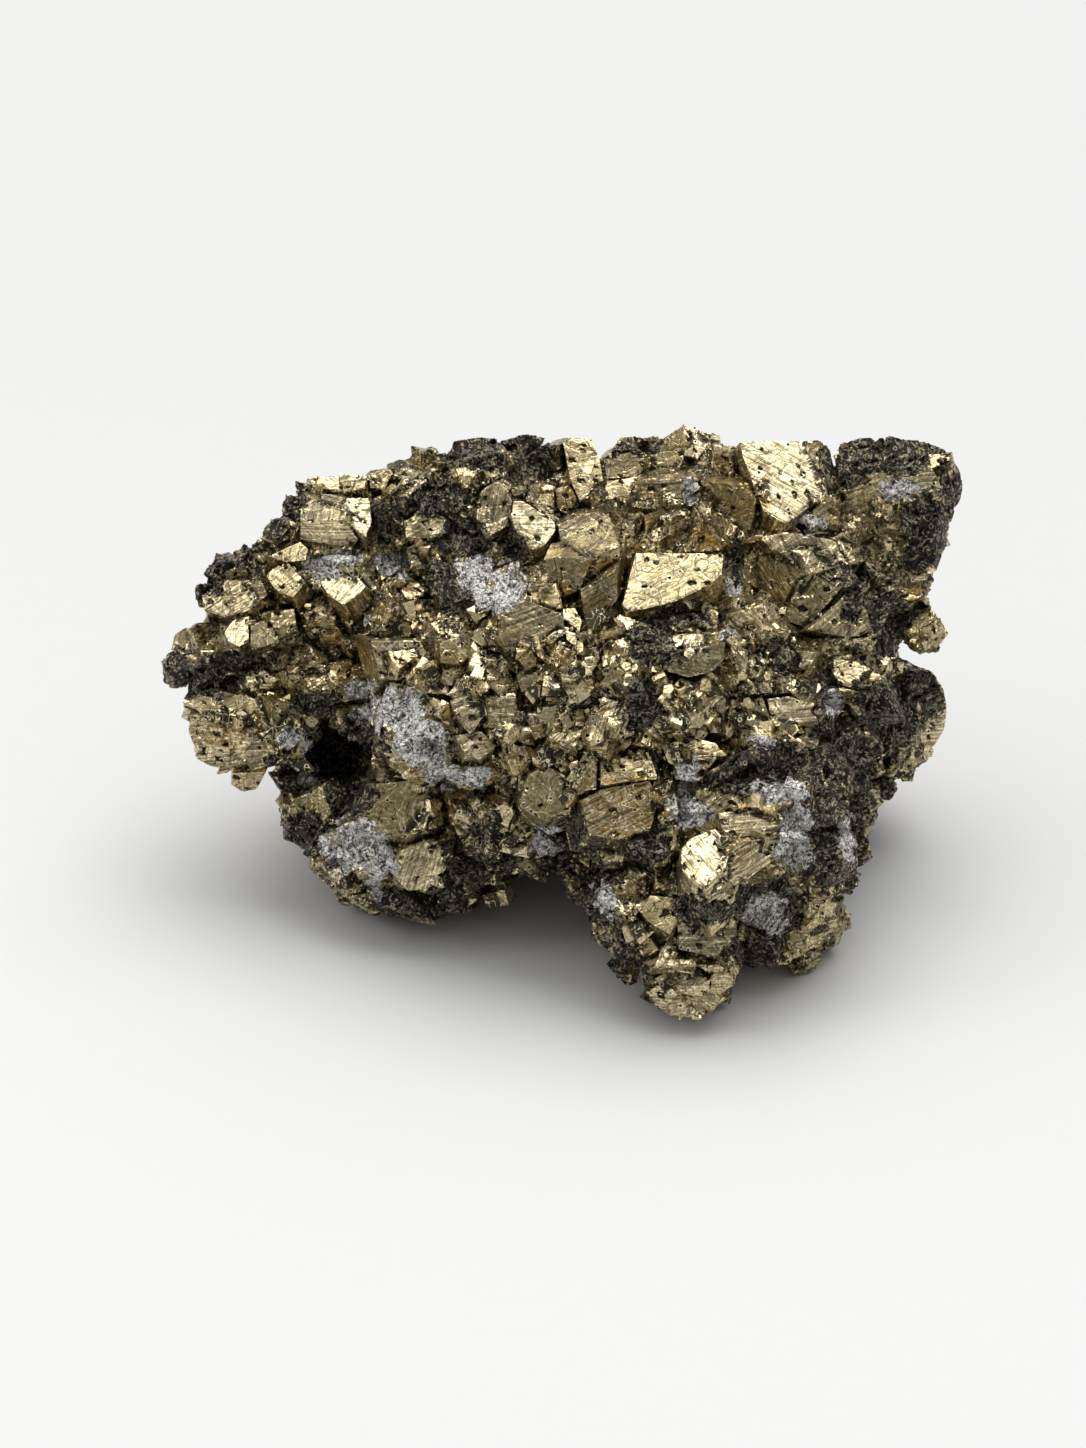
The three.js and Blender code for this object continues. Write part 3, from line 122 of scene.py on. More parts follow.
FACED_CRYSTALS: tuple[Faced, ...] = tuple(
    Faced(tuple(zip(corners[::2], corners[1::2])), *rest) for corners, *rest in (
    # Upper left.
    ((-23.7, 24.7, -19.8, 25.2, -17.5, 25, -17.7, 23.6, -19.8, 23.2, -22.1, 23.6), (-8, 66), 1.4, 4),
    ((-19.9, 22.7, -17.3, 22.7, -17.1, 20.4, -17.7, 18.7, -19.3, 19.9, -20, 20.9), (8, 60), 2, 4),
    ((-22.3, 23.1, -19.8, 22.7, -20, 20.9, -22.5, 21.4), (-30, 35), 1.5, 4),
    ((-24.3, 20.4, -19.8, 20.4, -18.5, 18.4, -19.3, 17.2, -24.3, 18.4), (-5, 2), 1.6, 4),
    ((-24.9, 24.4, -22.8, 24, -22.9, 22.4, -24.3, 22.2, -24.9, 23.2), (-40, 50), 1, 4),
    ((-17.5, 25.4, -15.3, 25.8, -14.9, 25, -15.8, 23.4, -17.3, 23.6), (20, 50), 0.6, 4),
    ((-15.1, 24.6, -13.8, 25.6, -12.5, 25.4, -12.5, 24.2, -14.8, 23.6), (0, 40), 0.8, 4),
    ((-14, 20.4, -12.5, 21.2, -10.3, 21, -9.3, 20.4, -9.4, 19.2, -11.3, 18.4, -13.8, 18.7),
     (0, 46), 1.2, 4),
    ((-13.8, 17.6, -12.3, 18.2, -11.1, 16.4, -11.5, 15.2, -13.3, 15.4), (-10, 35), 1.2, 4),
    ((-27.5, 16.8, -24.3, 18.3, -23.5, 17.6, -23.7, 16.4, -25.8, 16.2), (-20, 58), 0.9, 4),
    ((-27.3, 15.4, -25.8, 16.4, -24.3, 14.9, -23.8, 14.1, -25, 12.6, -26.8, 13.4, -27.8, 14.9),
     (-15, 56), 1.5, 4.5),
    ((-22.3, 14.2, -20.7, 15.8, -19.9, 16.4, -17.7, 13.9, -17.9, 13.4, -19.9, 11.9, -21.5, 12.9),
     (-25, 62), 2.4, 5),
    ((-19.9, 16.4, -18.8, 16.8, -16.2, 14.1, -16.3, 12.4, -17.7, 12.4, -17.9, 13.6), (50, 38), 1.6, 4),
    ((-16.8, 15.9, -14.8, 16.9, -14, 15.9, -16.1, 14.4), (0, 72), 1.2, 4),
    ((-16, 14.1, -14.9, 15.4, -13.8, 15.2, -14.3, 12.6, -16, 13.4), (-30, 40), 1.2, 4),
    ((-13.8, 15.2, -13, 14.9, -11.1, 13.4, -12.5, 12.4, -14.3, 12.6), (25, 55), 1.2, 4),
    ((-34.3, 12.9, -31.8, 14.4, -29.8, 14.4, -28.8, 12.4, -29.3, 11.2, -31.8, 10.6, -34.1, 11.4),
     (-35, 38), 0.6, 5),
    ((-29.8, 14.2, -28.1, 14.4, -27.5, 12.9, -28.8, 11.9), (10, 40), 0.9, 4),
    ((-31.9, 9.2, -31, 10.4, -29.4, 10.8, -29.4, 8.4, -30.3, 7.7, -31.5, 8.3), (8, 60), 1.6, 4),
    ((-29.3, 7.9, -29.3, 9.9, -28.1, 10.4, -27.1, 9.9, -26.2, 8.2, -28.5, 7.6), (0, 45), 1.4, 4),
    ((-27.1, 11.4, -24.7, 11.7, -24.4, 9.9, -26.3, 8.4, -27.3, 10.4), (22, 40), 1.2, 4),
    ((-34.3, 7.4, -32.8, 7.4, -32.7, 6.2, -33.8, 6), (-10, 62), 1.2, 3),
    ((-37.3, 7.4, -37, 8.9, -35.8, 9.7, -34.7, 9.4, -35.3, 7.9, -36.3, 7.4), (-55, 35), 0.4, 4),
    # Left lobe.
    ((-30.3, 5.4, -28.1, 5.6, -26.5, 4.4, -27.5, 3.4, -29.8, 3.6), (0, 48), 1.6, 4),
    ((-35.9, 2.2, -33, 3.6, -29.8, 3, -26.4, 2.4, -25.4, 0.2, -26.8, -1.8, -30.3, 0.9, -34.3, 1),
     (-12, 50), 1, 5, 1.12, 0, 0.5),
    ((-35.7, 1.1, -30.3, 0.9, -26.8, -1.6, -26.1, -3.6, -27.1, -4.4, -32.8, -5, -34.5, -4.1, -35.7, -1.1),
     (-18, 14), 1.2, 7, 1.12, 0, 0.7),
    ((-27.1, 2.2, -24.3, 1.9, -23.9, -1.6, -25.8, -3.4, -27, -1.6), (28, 22), 0.8, 5),
    ((-31.1, -4.9, -27.8, -4.8, -28.6, -6.6, -30.1, -6.9, -31.2, -6.1), (-10, -12), -1.2, 4),
    # Left of the middle.
    ((-22.5, 8.4, -20.8, 8.7, -19.8, 6.9, -20.5, 5.6, -22.1, 5.9, -22.8, 7.2), (-10, 44), 1.6, 4),
    ((-19.8, 8.4, -18.6, 7.9, -18.3, 5.9, -19.6, 4.4, -20.5, 5.6, -19.8, 6.9), (22, 40), 1.5, 4),
    ((-23.1, 10.2, -21.9, 10.4, -22.6, 9.1), (0, 60), 1.6, 3),
    ((-17.3, 8.4, -12.3, 8.4, -11.3, 6.4, -14.3, 4.4, -16.3, 4.6), (0, 42), 0.6, 4),
    ((-15.5, 7.4, -13.3, 6.9, -12.8, 7.6, -12.5, 6.9, -14.3, 5.6, -15.1, 6.2), (15, 62), 1.4, 3),
    ((-13.8, 12.4, -11.3, 12.6, -9.3, 11.4, -9.8, 9.4, -12.3, 9.6, -13.8, 10.9), (0, 48), 1, 4),
    ((-18.3, 11.9, -16.7, 12.1, -16.5, 10.9, -17.8, 10.6), (-10, 50), 0.9, 3),
    ((-10.3, 8.4, -8.1, 8.6, -7.1, 7.2, -8.1, 5.9, -10.2, 6.1), (10, 42), 1, 4),
    ((-9.3, 2.4, -6.3, 3.4, -5.3, 1.4, -7.3, -1.1, -8.8, 0.9), (-10, 40), 1, 4),
    ((-5.8, 2.9, -2.8, 3, -2.1, 1, -3.8, -0.6, -5.4, 0), (10, 35), 0.8, 4),
    # Upper middle.
    ((-9.5, 26.9, -9.1, 28.4, -6.3, 28.8, -4.6, 28.6, -4.8, 27.4, -7.3, 26.6), (0, 55), -0.6, 4),
    ((-4.3, 28.4, -2.8, 28.8, -1.3, 29, 0.2, 28.6, -1.3, 27.9, -2.8, 26.9), (10, 50), -0.4, 4),
    ((-0.8, 27.4, 0.2, 27.9, 1.7, 28, 1.7, 25.4, 0.2, 24.9, -0.6, 25.4), (-32, 6), 0.4, 2, 0.8),
    ((-3.3, 25.4, -1, 27.4, -0.3, 25.4, -0.8, 24.4, -2.3, 24.9), (-30, 50), 1, 4),
    ((1.9, 28.4, 3.2, 28.7, 4.9, 28.6, 5.7, 26.4, 6.1, 24.4, 3.7, 22.2, 2.7, 24.4), (4, 55), 2, 4.5, 0.9),
    ((6.2, 26.9, 9.7, 27.4, 10.2, 26.2, 9.7, 24.9, 6.2, 24.4), (-20, 40), 0.8, 5),
    ((6.2, 24.4, 9.7, 24.9, 8.5, 22.7, 6.2, 22.4), (5, 56), 1.4, 4),
    ((6.9, 27.4, 7.7, 28.7, 9.4, 28.8, 10.7, 28.4, 9.7, 27.4), (0, 50), -1, 4),
    ((10.7, 27.9, 14, 30, 14.9, 28.4, 13.7, 25.4, 10.7, 24.9, 10.2, 26.2), (-20, 44), 1, 6),
    ((14, 30.1, 15.7, 29.6, 16.9, 28.4, 15.4, 26.4, 14.6, 28.2), (20, 55), 0.6, 5),
    ((15.5, 29.4, 17.7, 29.2, 17.9, 28.4, 16.9, 24.9, 15.4, 26.9), (5, 50), 0.4, 5),
    ((16.9, 28.4, 19.5, 27.9, 19.7, 25.4, 18.2, 24.2, 16.9, 24.9), (25, 40), 1, 5),
    ((9.7, 24.4, 14.7, 24.6, 15.7, 23.4, 14.5, 22.4, 10.7, 20.9, 8.9, 21.9), (0, 20), 1.2, 6),
    ((7.7, 21.9, 8.9, 21.9, 10.2, 20.9, 9.2, 18.4, 7.7, 19.4), (-28, 28), 1.4, 5),
    ((10.2, 20.9, 14.7, 22.4, 15.7, 20.4, 13.7, 19.4, 10.2, 17.9), (15, 18), 0.8, 5),
    ((15.7, 24.4, 19.7, 23.9, 21.4, 22.4, 20.7, 19.4, 18.2, 18.4, 16.2, 20.4), (-12, 24), 0.9, 6),
    ((21.7, 24.2, 22.4, 24.2, 22.5, 22.4, 21.9, 22.1), (0, 40), 1.6, 4),
    ((1.5, 19.9, 3.4, 21, 5.4, 21.2, 7.1, 19.8, 6.9, 18, 5.3, 16.8, 3.2, 16.7, 1.7, 17.9),
     (0, 40), 2.2, 4.5),
    ((-6.8, 20.9, -6.3, 23.4, -4.6, 24.3, -3.5, 23.4,
      -3, 22.4, -3.5, 19.9, -4.5, 19.4, -5.8, 18.4, -6.6, 19.9), (-15, 40), 2, 4.5),
    ((-3.5, 23.6, -1.5, 24, -1.5, 23.1, -2.8, 22.6), (20, 40), 1.4, 4),
    ((-3, 22.4, -2.1, 22.4, 1.2, 20.4, 1.3, 19.4, 0.2, 17.9, -1, 17.4, -2.8, 19.4, -3.3, 20.9),
     (12, 54), 2, 4.5),
    ((1.2, 23.4, 2.7, 23.9, 3.5, 22.4, 2.5, 20.9, 1.3, 21.6), (10, 40), 0.8, 4),
    # Upper right.
    ((19.7, 28.3, 27.7, 28.4, 28.3, 22.9, 24.3, 20, 22.1, 21.2, 22.4, 24.2, 19.8, 27.2),
     (4, 58), 2.4, 6, 1.12, 3),
    ((27.6, 28.4, 28.8, 27.4, 29.6, 25.2, 29.8, 22.6, 28.4, 22.8, 28, 25.6), (58, 34), 2, 6),
    ((28.9, 26.9, 29.7, 28.2, 31.7, 28.7, 35, 28.9, 38.4, 28.2,
      40, 27.4, 40.8, 26.5, 39, 25.6, 33.2, 26, 29.6, 25), (4, 64), -0.4, 6, 0.92),
    ((29.4, 24.6, 33.2, 26, 36, 25.4, 36.4, 19.4, 34.4, 14.2, 31, 17.2, 29.6, 21),
     (-16, 16), 0.8, 8, 0.9),
    ((36, 25.4, 39, 25.6, 40, 23.6, 39.8, 18.4, 38.4, 14.2, 36, 13.8, 34.4, 14.2, 36.4, 19.4),
     (14, 14), 0.8, 8, 0.9),
    ((40.2, 26.6, 41.4, 26, 42, 24.4, 41.7, 22.6,
      40.2, 17.6, 39.4, 15.1, 38.9, 14.8, 39.7, 18.4, 40, 23.6), (64, 16), -0.6, 6, 0.92),
    ((21.7, 18.4, 25.7, 17.1, 26.9, 15.1, 25.5, 14.2, 23.9, 10.4, 22.2, 9.6, 19.9, 12.4, 19.5, 15.9),
     (-36, 22), 2, 6, 1.12, 1),
    ((22.2, 18.9, 25.7, 19.2, 29.2, 18.4, 31.7, 14.4, 29.7, 13.4, 26.9, 15.1, 25.7, 17.1, 21.7, 18.4),
     (18, 44), 2.2, 6, 1.12, 5),
    ((25.5, 14.2, 26.9, 15.1, 29.7, 13.4, 28.7, 12.4, 26.3, 9.4, 24.7, 10.2, 23.9, 10.4),
     (-4, 26), 2.6, 6),
    ((26.3, 9.4, 30.2, 12.9, 32.2, 11.9, 33.7, 8.9, 30.7, 8.7), (22, 38), 2, 6),
    ((29.5, 8.4, 33.7, 8.7, 32.7, 6.9, 30.2, 6.6), (0, 10), 1.2, 5),
    ((37, 5.2, 39, 5.3, 40.1, 3.6, 40.5, 1.4, 40.2, -0.6, 39.4, -1.9, 37.6, -4, 36.6, -2, 36.4, 1.6),
     (42, 6), -0.4, 6, 0.92),
    ((34.6, -1.4, 36.6, -2, 37.6, -4, 35.6, -5.6, 34.7, -5.4, 34, -3.4), (16, -4), -0.2, 5, 0.92),
    # Middle.
    ((9.3, 17.2, 13.7, 17.1, 18.1, 17.1, 17.9, 14.9,
      15.7, 13.4, 13.7, 12.4, 11.2, 11.7, 8.5, 11.2, 7.9, 11.9), (-4, 58), 3, 5.5, 1.12, 4),
    ((0, 16.4, 1.7, 16.8, 4.7, 16.4, 3.7, 13.4, 1.7, 12.6, 0.7, 14.4), (-22, 24), 1.2, 5),
    ((4.7, 16.4, 7.7, 17.9, 7.9, 16.4, 5.7, 12.4, 3.7, 13.4), (22, 14), 0.9, 5),
    ((3.7, 13.4, 7.4, 15.4, 7.5, 12.4, 5.7, 10.4, 4, 10.9), (0, 18), 1, 5),
    ((-1.8, 14.2, 1.2, 14.2, 2, 11.5, 0.2, 11.2, -2.3, 12.7), (0, 46), 1.8, 4.5),
    ((-4.3, 11.9, -2.3, 12.6, 0.2, 11.2, 2, 10.9, 2.2, 8.9, 0.2, 7.9, -2.8, 8.4, -4.3, 9.4),
     (-5, 34), 1.4, 5),
    ((2, 11.6, 3.2, 11.7, 3.9, 10.4, 3.7, 9.2, 2.8, 9.9, 1.9, 10.7), (-2, 62), 2.8, 3),
    ((-0.2, 8.3, 2, 9.9, 2.9, 9.6, 1.7, 8.7, 0.2, 7.9), (-25, 60), 2.4, 2.4),
    ((2.2, 9.4, 3.5, 9.1, 3.4, 7.7, 2.4, 8.4), (10, 60), 2.2, 2.4),
    ((3.7, 7.4, 5.7, 7.9, 4.7, 6.4, 3.9, 6.4), (15, 40), 1.8, 3),
    ((11.7, 7.4, 12.4, 8.7, 14.2, 9.2, 15.9, 9.1, 16.5, 7.6, 14.2, 6.9), (0, 60), 2.4, 4),
    ((11.7, 7.2, 14.2, 6.9, 17.5, 7.9, 17.9, 6.4, 16.9, 5.2, 14.7, 4.6, 12.2, 5.2), (2, 22), 2.2, 4.5),
    ((3.8, -1.1, 4.7, 1.6, 6.2, 2.8, 8.2, 2.4, 7.9, 0.4, 6.2, -1.8, 4.7, -1.8), (-14, 56), 2.6, 4.5),
    ((8.2, 2.4, 9.7, 1.2, 9.3, -1.1, 6.7, -1.8, 6.2, -1.8, 7.9, 0.4), (25, 34), 2.2, 4.5),
    ((5.2, 3.6, 6.7, 4.4, 7.7, 3.4, 7.5, 2.6, 5.7, 2.7), (0, 50), 1.4, 3),
    ((23.7, 9.2, 24.9, 9.6, 25.4, 8.4, 24.7, 7.6, 23.8, 8.2), (0, 62), 1.8, 3),
    ((24.4, 5.4, 25.4, 7.4, 27.5, 7.2, 26.9, 5.9, 25.2, 5.2), (0, 40), 1.6, 4),
    ((20.4, 4.5, 20.9, 6.1, 22, 5.9, 21.5, 4.7), (0, 60), 1.4, 3),
    ((29, 6.6, 31.5, 6.4, 33.7, 5.2, 34.2, 3.9, 31.7, 3.4, 29.7, 3.9, 29, 4.9), (-4, 56), 1.8, 4.5),
    ((29.7, 3.4, 34.7, 3.4, 35.5, 1.2, 31.7, 0.6, 30.2, 2.4), (8, 40), 1.4, 4.5),
    ((22.3, 2.6, 24.7, 2.9, 28.2, 1.9, 27.7, 0.4, 25.2, -0.4, 22.9, 0.2), (0, 46), 1.8, 4.5),
    ((23.2, 0.2, 25.2, 0.2, 25.7, -0.6, 24.5, -1.6), (-8, 58), 1.8, 3),
    ((16.7, -4.6, 21.2, -2.1, 21.9, -2.6, 19.2, -5.1, 17.2, -6.1), (10, 45), 1.6, 3.5),
    ((12.7, -1.9, 14.7, -1.1, 17.2, -1.8, 18.4, -3.1, 15.7, -3.6, 13.2, -3.1), (0, 58), 2, 4),
    ((12.9, -3.1, 15.7, -3.6, 17.4, -3.4, 15.7, -6.1, 13.2, -5.6), (-5, 20), 1.6, 4),
    # Lower left.
    ((-17.8, -6.1, -11.8, -5.4, -10.6, -6.8, -11.8, -10.6, -13.8, -11.4, -17.8, -10.6, -18.5, -8.6),
     (-10, 36), 2.2, 6),
    ((-10.3, -7.1, -9.6, -8.1, -10, -10.1, -11.3, -11.1, -11.8, -10.6, -10.6, -6.8), (55, 12), 1.2, 5),
    ((-17.1, -2.1, -15.8, -1.6, -12.8, -4.1, -11.8, -5.6, -16.5, -5.1, -17.3, -3.8), (-20, 60), 1.4, 4.5),
    ((-15.1, -15.1, -14.3, -12.6, -11.8, -11.6, -9.3, -12.1, -9.3, -16.1, -11.3, -17.3, -13.8, -16.6),
     (-2, 16), 1, 5),
    ((-25.3, -7.6, -23.3, -7.1, -21.3, -5.6, -20.8, -7.6, -22.1, -10.6, -24.3, -11.4, -26, -9.6),
     (-34, 24), 0.6, 5),
    ((-21.8, -10.6, -18.8, -9.8, -15.8, -11.6, -14.5, -13.6, -16.3, -15.1, -18.3, -15.6, -21.3, -12.6),
     (-24, 32), 0.8, 5),
    ((-18.8, -17.1, -15.3, -18.1, -16.8, -19.1, -18.3, -18.6), (-10, 10), -0.4, 4),
    # Lower middle.
    ((2, -5.6, 4.7, -2.1, 5.4, -3.6, 5.4, -6.6, 3.7, -7.1), (0, 36), 1.8, 4),
    ((-2.3, -7.6, -1.5, -5.1, 0.2, -4.1, 2.2, -5.1, 2.9, -7.1, 2.7, -9.1, 0.2, -9.8, -1.8, -8.8),
     (-5, 34), 2, 5),
    ((-1.5, 1.2, 0.2, 0.9, 0.7, -1.1, -0.8, -1.6, -1.6, -0.1), (0, 35), 1.4, 3.5),
    ((-8.8, -1.1, -6.3, -0.6, -4.5, -2.1, -6.3, -3.6, -7.8, -3.1), (0, 45), 1.2, 4),
    ((3.7, -7.6, 5.7, -6.6, 10.7, -5.6, 11.7, -7.6, 10.7, -10.6, 7.7, -11.6, 4.7, -11.1),
     (2, 38), 1.8, 6),
    ((5.7, -3.6, 10.7, -2.6, 11.7, -5.6, 5.7, -6.1), (0, 52), 1.4, 4),
    # Lower right.
    ((13.7, -12.6, 14.7, -11.4, 17.2, -10.4, 17.9, -11.1,
      18.8, -12.6, 18.2, -14.4, 16.2, -16.3, 14.7, -15.6, 13.9, -14.6), (-14, 64), 2.6, 6, 1.12, 7),
    ((17.5, -8.8, 19.7, -8.6, 23.7, -8.8, 24.7, -10.6, 21.2, -10.8, 19.2, -11.4, 17.9, -10.6),
     (16, 50), 1.8, 5),
    ((18.8, -12.1, 25, -10.8, 24.7, -12.6, 21.7, -14.6, 19.7, -16.1, 16.9, -17.1, 18.2, -14.4),
     (30, 20), 2, 6, 1.12, 2),
    ((9.7, -18.6, 10.7, -17.1, 13.7, -17.4, 14, -18.6, 12.9, -20.1, 12.7, -21.1, 10.2, -19.6),
     (-4, 50), 1.6, 4.5),
    ((13.2, -17.6, 19.2, -17.4, 19.4, -21.6, 17.2, -23.3, 13.7, -22.6), (8, 32), 0.8, 5),
    ((7.7, -20.1, 8.5, -19.4, 10.2, -22.6, 9.5, -23.6, 8.2, -23.4), (-30, 30), 0.8, 4, 1.12, 0, 0.5),
    ((9.7, -24.1, 17.7, -24.1, 19.5, -26.1, 17.2, -28.8, 14.7, -29.8, 12.2, -29.4, 10.2, -27.6),
     (-4, 14), 0.8, 6, 1.12, 0, 0.8),
    ((23.2, -17.1, 28.7, -16.6, 29.9, -18.1, 29.5, -20.6, 26.7, -23.1, 23.7, -24.4, 22.2, -21.1),
     (30, 14), 0.4, 6, 1.12, 0, 0.7),
))

EDGE_KNOBS: tuple[Knob, ...] = tuple(Knob(*row) for row in (
    (Habit.KNOB, -31.3, 14.8, 4.4), (Habit.KNOB, -29.7, 16, 3.2), (Habit.KNOB, -26.2, 18.9, 3.2),
    (Habit.KNOB, -24.8, 21.4, 2.8), (Habit.KNOB, -27.8, 17.2, 2.6), (Habit.BEVELLED, -33.4, 12.8, 2.4),
    (Habit.KNOB, -36.2, 5.6, 3.4), (Habit.OCTAHEDRON, -36.9, 4.4, 2.2, -0.6), (Habit.KNOB, 38, 9.4, 4.2),
    (Habit.KNOB, 34, -6.4, 2.8), (Habit.KNOB, 31.3, -8.8, 2.8), (Habit.BEVELLED, 31, -12.4, 3.6),
    (Habit.KNOB, 30.2, -15.6, 2.8), (Habit.KNOB, 8.6, 27.4, 2.6), (Habit.KNOB, 36, 12.2, 2.2, 0.4),
    (Habit.BEVELLED, -22, -12.4, 3), (Habit.KNOB, -19.4, -15.2, 3), (Habit.KNOB, -12.6, -18, 2.8, -0.4),
    (Habit.KNOB, -8.4, -17.8, 2.6, -0.4), (Habit.KNOB, -4.8, -16.8, 2.6, -0.4),
    (Habit.BEVELLED, 3.9, -15.8, 3.4), (Habit.KNOB, 6, -18.4, 3.6), (Habit.BEVELLED, 7.4, -21.2, 3.4),
    (Habit.KNOB, 8.6, -24.2, 3.4), (Habit.KNOB, 10.8, 27.2, 2.6), (Habit.KNOB, 6.9, 26, 2.8),
    (Habit.BEVELLED, -11.2, 23.2, 3.6, 0.4), (Habit.KNOB, -8.2, 24.2, 3.6, 0.4),
    (Habit.CUBE, -14, 22, 3, 0.4), (Habit.PYRITOHEDRON, -5.4, 25.2, 3.8, 0.4),
    (Habit.KNOB, -25.6, -5.1, 2.8),
))


@dataclass(frozen=True)
class Hollow:
    """A deep hollow of the front; the middle lies behind the massif's surface, in millimetres."""

    across: float
    up: float
    behind: float
    half: tuple[float, float, float]
    left_over: float = 0.04


HOLLOWS: tuple[Hollow, ...] = (Hollow(-20.3, -2.8, -5.5, (3.6, 3.2, 8.0)),)


@dataclass(frozen=True)
class Patch:
    """An oval of the front view, in millimetres, where the surface has another colour."""

    across: float
    up: float
    half_across: float
    half_up: float


DARK_PATCHES: tuple[Patch, ...] = tuple(Patch(*row) for row in (
    (15.9, -18.7, 2.8, 1.5),
    (35.2, 27.6, 6.5, 2.2), (41, 21, 1.6, 5), (31.5, 26, 3, 2), (38.5, 19, 2.5, 4), (31, 13.4, 1.4, 2.8),
    (34.5, 9.5, 2.4, 3.6), (34.4, 1, 3.2, 4), (31, -3.5, 4.6, 4), (33.5, -7, 3.4, 3), (28.5, -11, 4.2, 5),
    (29.5, -14.5, 3, 3), (25, -3.8, 5, 2.2), (21, -5.6, 5, 1.6), (22.4, -18.4, 3.2, 2.8),
    (21.5, -22.6, 3.4, 2), (39, 4, 2, 3), (28.5, 2.5, 1.2, 3), (-31.8, 16.9, 2.4, 1.6),
    (-33.6, 14.6, 1.8, 2.2), (-27.3, 20.2, 2.2, 1.8), (-25.8, 22.4, 1.6, 1.8), (-30, 18, 2, 1),
    (-36.8, 5.4, 2, 1.8), (-34, 4.4, 4, 1.4), (-31.8, 6, 4, 1), (-7.3, 27.6, 3.6, 1.8),
    (-0.6, 26.6, 1.6, 1.8), (9, 28, 2.4, 1), (-1.5, 28.2, 2, 0.8), (-10.3, 22.4, 2.8, 1.8),
    (-8, 18.4, 2.6, 2), (-9.3, 13.6, 2.8, 2.8), (-2.8, 18, 1.6, 1.4), (-19.3, -1.8, 3.2, 3.2),
    (-19.3, -6.4, 2.4, 3.6), (-25, -5, 2.4, 2), (-22.4, 2.2, 2.4, 1.6), (-6.3, -13.8, 3.8, 3.8),
    (-11.3, -18, 8, 1.4), (1.5, -12.4, 2.2, 3.6), (4.6, -16.8, 3, 3.4), (7.4, -22.8, 2, 3.6),
    (10.8, 8.2, 2, 2.6), (10, 2, 1.4, 2.4), (13.6, 10.6, 4, 1), (-24, -11, 2, 3), (19.2, 15.8, 0.9, 1.8),
    (24.2, 6.8, 1.4, 1.8), (-14.5, 21.6, 1.4, 1.4), (-16, 20, 1, 2.4), (10.5, -12.4, 2.4, 2),
    (9.8, -25.6, 1, 2.4),
))
WHITE_PATCHES: tuple[Patch, ...] = tuple(Patch(*row) for row in (
    (-14.9, 15.6, 1.9, 1.4), (-20.4, 16.6, 2.4, 0.7), (-22.2, 15.4, 1.6, 1), (-6.5, 15.2, 2.4, 1.5),
    (-3.8, 14.4, 2, 1.6), (-4.6, 12.6, 1.8, 1.2), (-15, 1.2, 3.2, 2.2), (-12, -1.8, 2.6, 2.4),
    (-10.4, -5, 1.6, 1.4), (-18.5, 3.2, 1.8, 1), (-19, -12.4, 3.2, 2.6), (-16.4, -14.4, 1.6, 1.6),
    (-17, -16.4, 0.8, 1.4), (13.9, -7.4, 1.3, 2.6), (14.6, -4.6, 1, 1.4), (15.8, -9, 1.6, 0.9),
    (23.4, -6.8, 2.6, 1.2), (25.4, -10.4, 1.3, 2.4), (25, -13.2, 1.6, 1.3), (27.4, 20, 1.8, 0.9),
    (29, 2.4, 0.9, 1.3), (18.6, 8.8, 0.9, 0.8), (19.2, 13.6, 0.8, 0.9), (30.6, -11.6, 0.8, 1.7),
    (22.2, -19.2, 2, 1.8), (6.2, -17.4, 1.1, 1.8), (0.4, -12, 1.4, 1.4), (35.4, 23.4, 2.2, 0.9),
    (-6.6, -5.2, 2, 1.1), (-23.4, -3.6, 1, 2), (-25, -1.6, 1.2, 1), (14.6, 23.4, 0.9, 1.4),
    (22, -1.6, 1.2, 0.6),
))
RUBBLE_PATCHES: tuple[Patch, ...] = tuple(Patch(*row) for row in (
    (-9, 9, 10, 4.6), (10, 5.6, 9, 3.4), (20, 1.4, 9, 3.2), (-2, 1.6, 7, 3.6), (33, 17.4, 2.4, 5),
    (15.6, -20.8, 6, 2.4), (-19, -16, 7, 2.6), (8.8, -8.6, 4, 2.8), (-13, 20.6, 4, 3), (-6.4, -12.4, 4, 4),
))
RUST_PATCHES: tuple[Patch, ...] = tuple(Patch(*row) for row in (
    (-20, 7, 2.8, 2.2), (-13.6, 14.4, 0.9, 1.6), (-19.3, 11.2, 1.8, 1.4), (-23.2, 11.4, 1.4, 1.4),
    (-11.6, 10.4, 2.2, 1.4), (0.2, -2.4, 1.4, 2), (8.8, -8.6, 3.4, 3.2), (5.6, -6.6, 2.6, 1.6),
    (19.8, -12.6, 1.6, 1.8), (19.2, 22.6, 3, 3), (17.6, 18.4, 3.2, 1.2), (11.8, 18, 2.2, 0.9),
    (5.8, 15.8, 1.8, 1.2), (1.8, 22.4, 1.4, 1.2), (37.6, 13.4, 1.4, 1), (-31.4, -0.8, 2.2, 1.6),
    (-8.6, -8, 1.4, 1.4), (22, -2.2, 1.6, 0.8), (-9, 6.4, 2, 1.4), (16.4, -3.6, 1.8, 1.2),
))


def fraction(number: float) -> float:
    """A repeatable fraction from 0 to 1 for a number."""
    x = math.sin(number * 12.9898 + 4.137) * 43758.5453
    return x - math.floor(x)


def fractions(numbers: Array) -> Array:
    """Repeatable fractions from 0 to 1 for an array of numbers."""
    x = np.sin(numbers * 12.9898 + 4.137) * 43758.5453
    return x - np.floor(x)


def unit(vectors: Array) -> Array:
    """Vectors along the last axis, each made one long."""
    return vectors / np.maximum(np.linalg.norm(vectors, axis=-1, keepdims=True), 1e-12)


def smooth_step(low: float, high: float, values: Array) -> Array:
    """0 below low, 1 above high and an even bend between."""
    t = np.clip((values - low) / (high - low), 0.0, 1.0)
    return t * t * (3.0 - 2.0 * t)


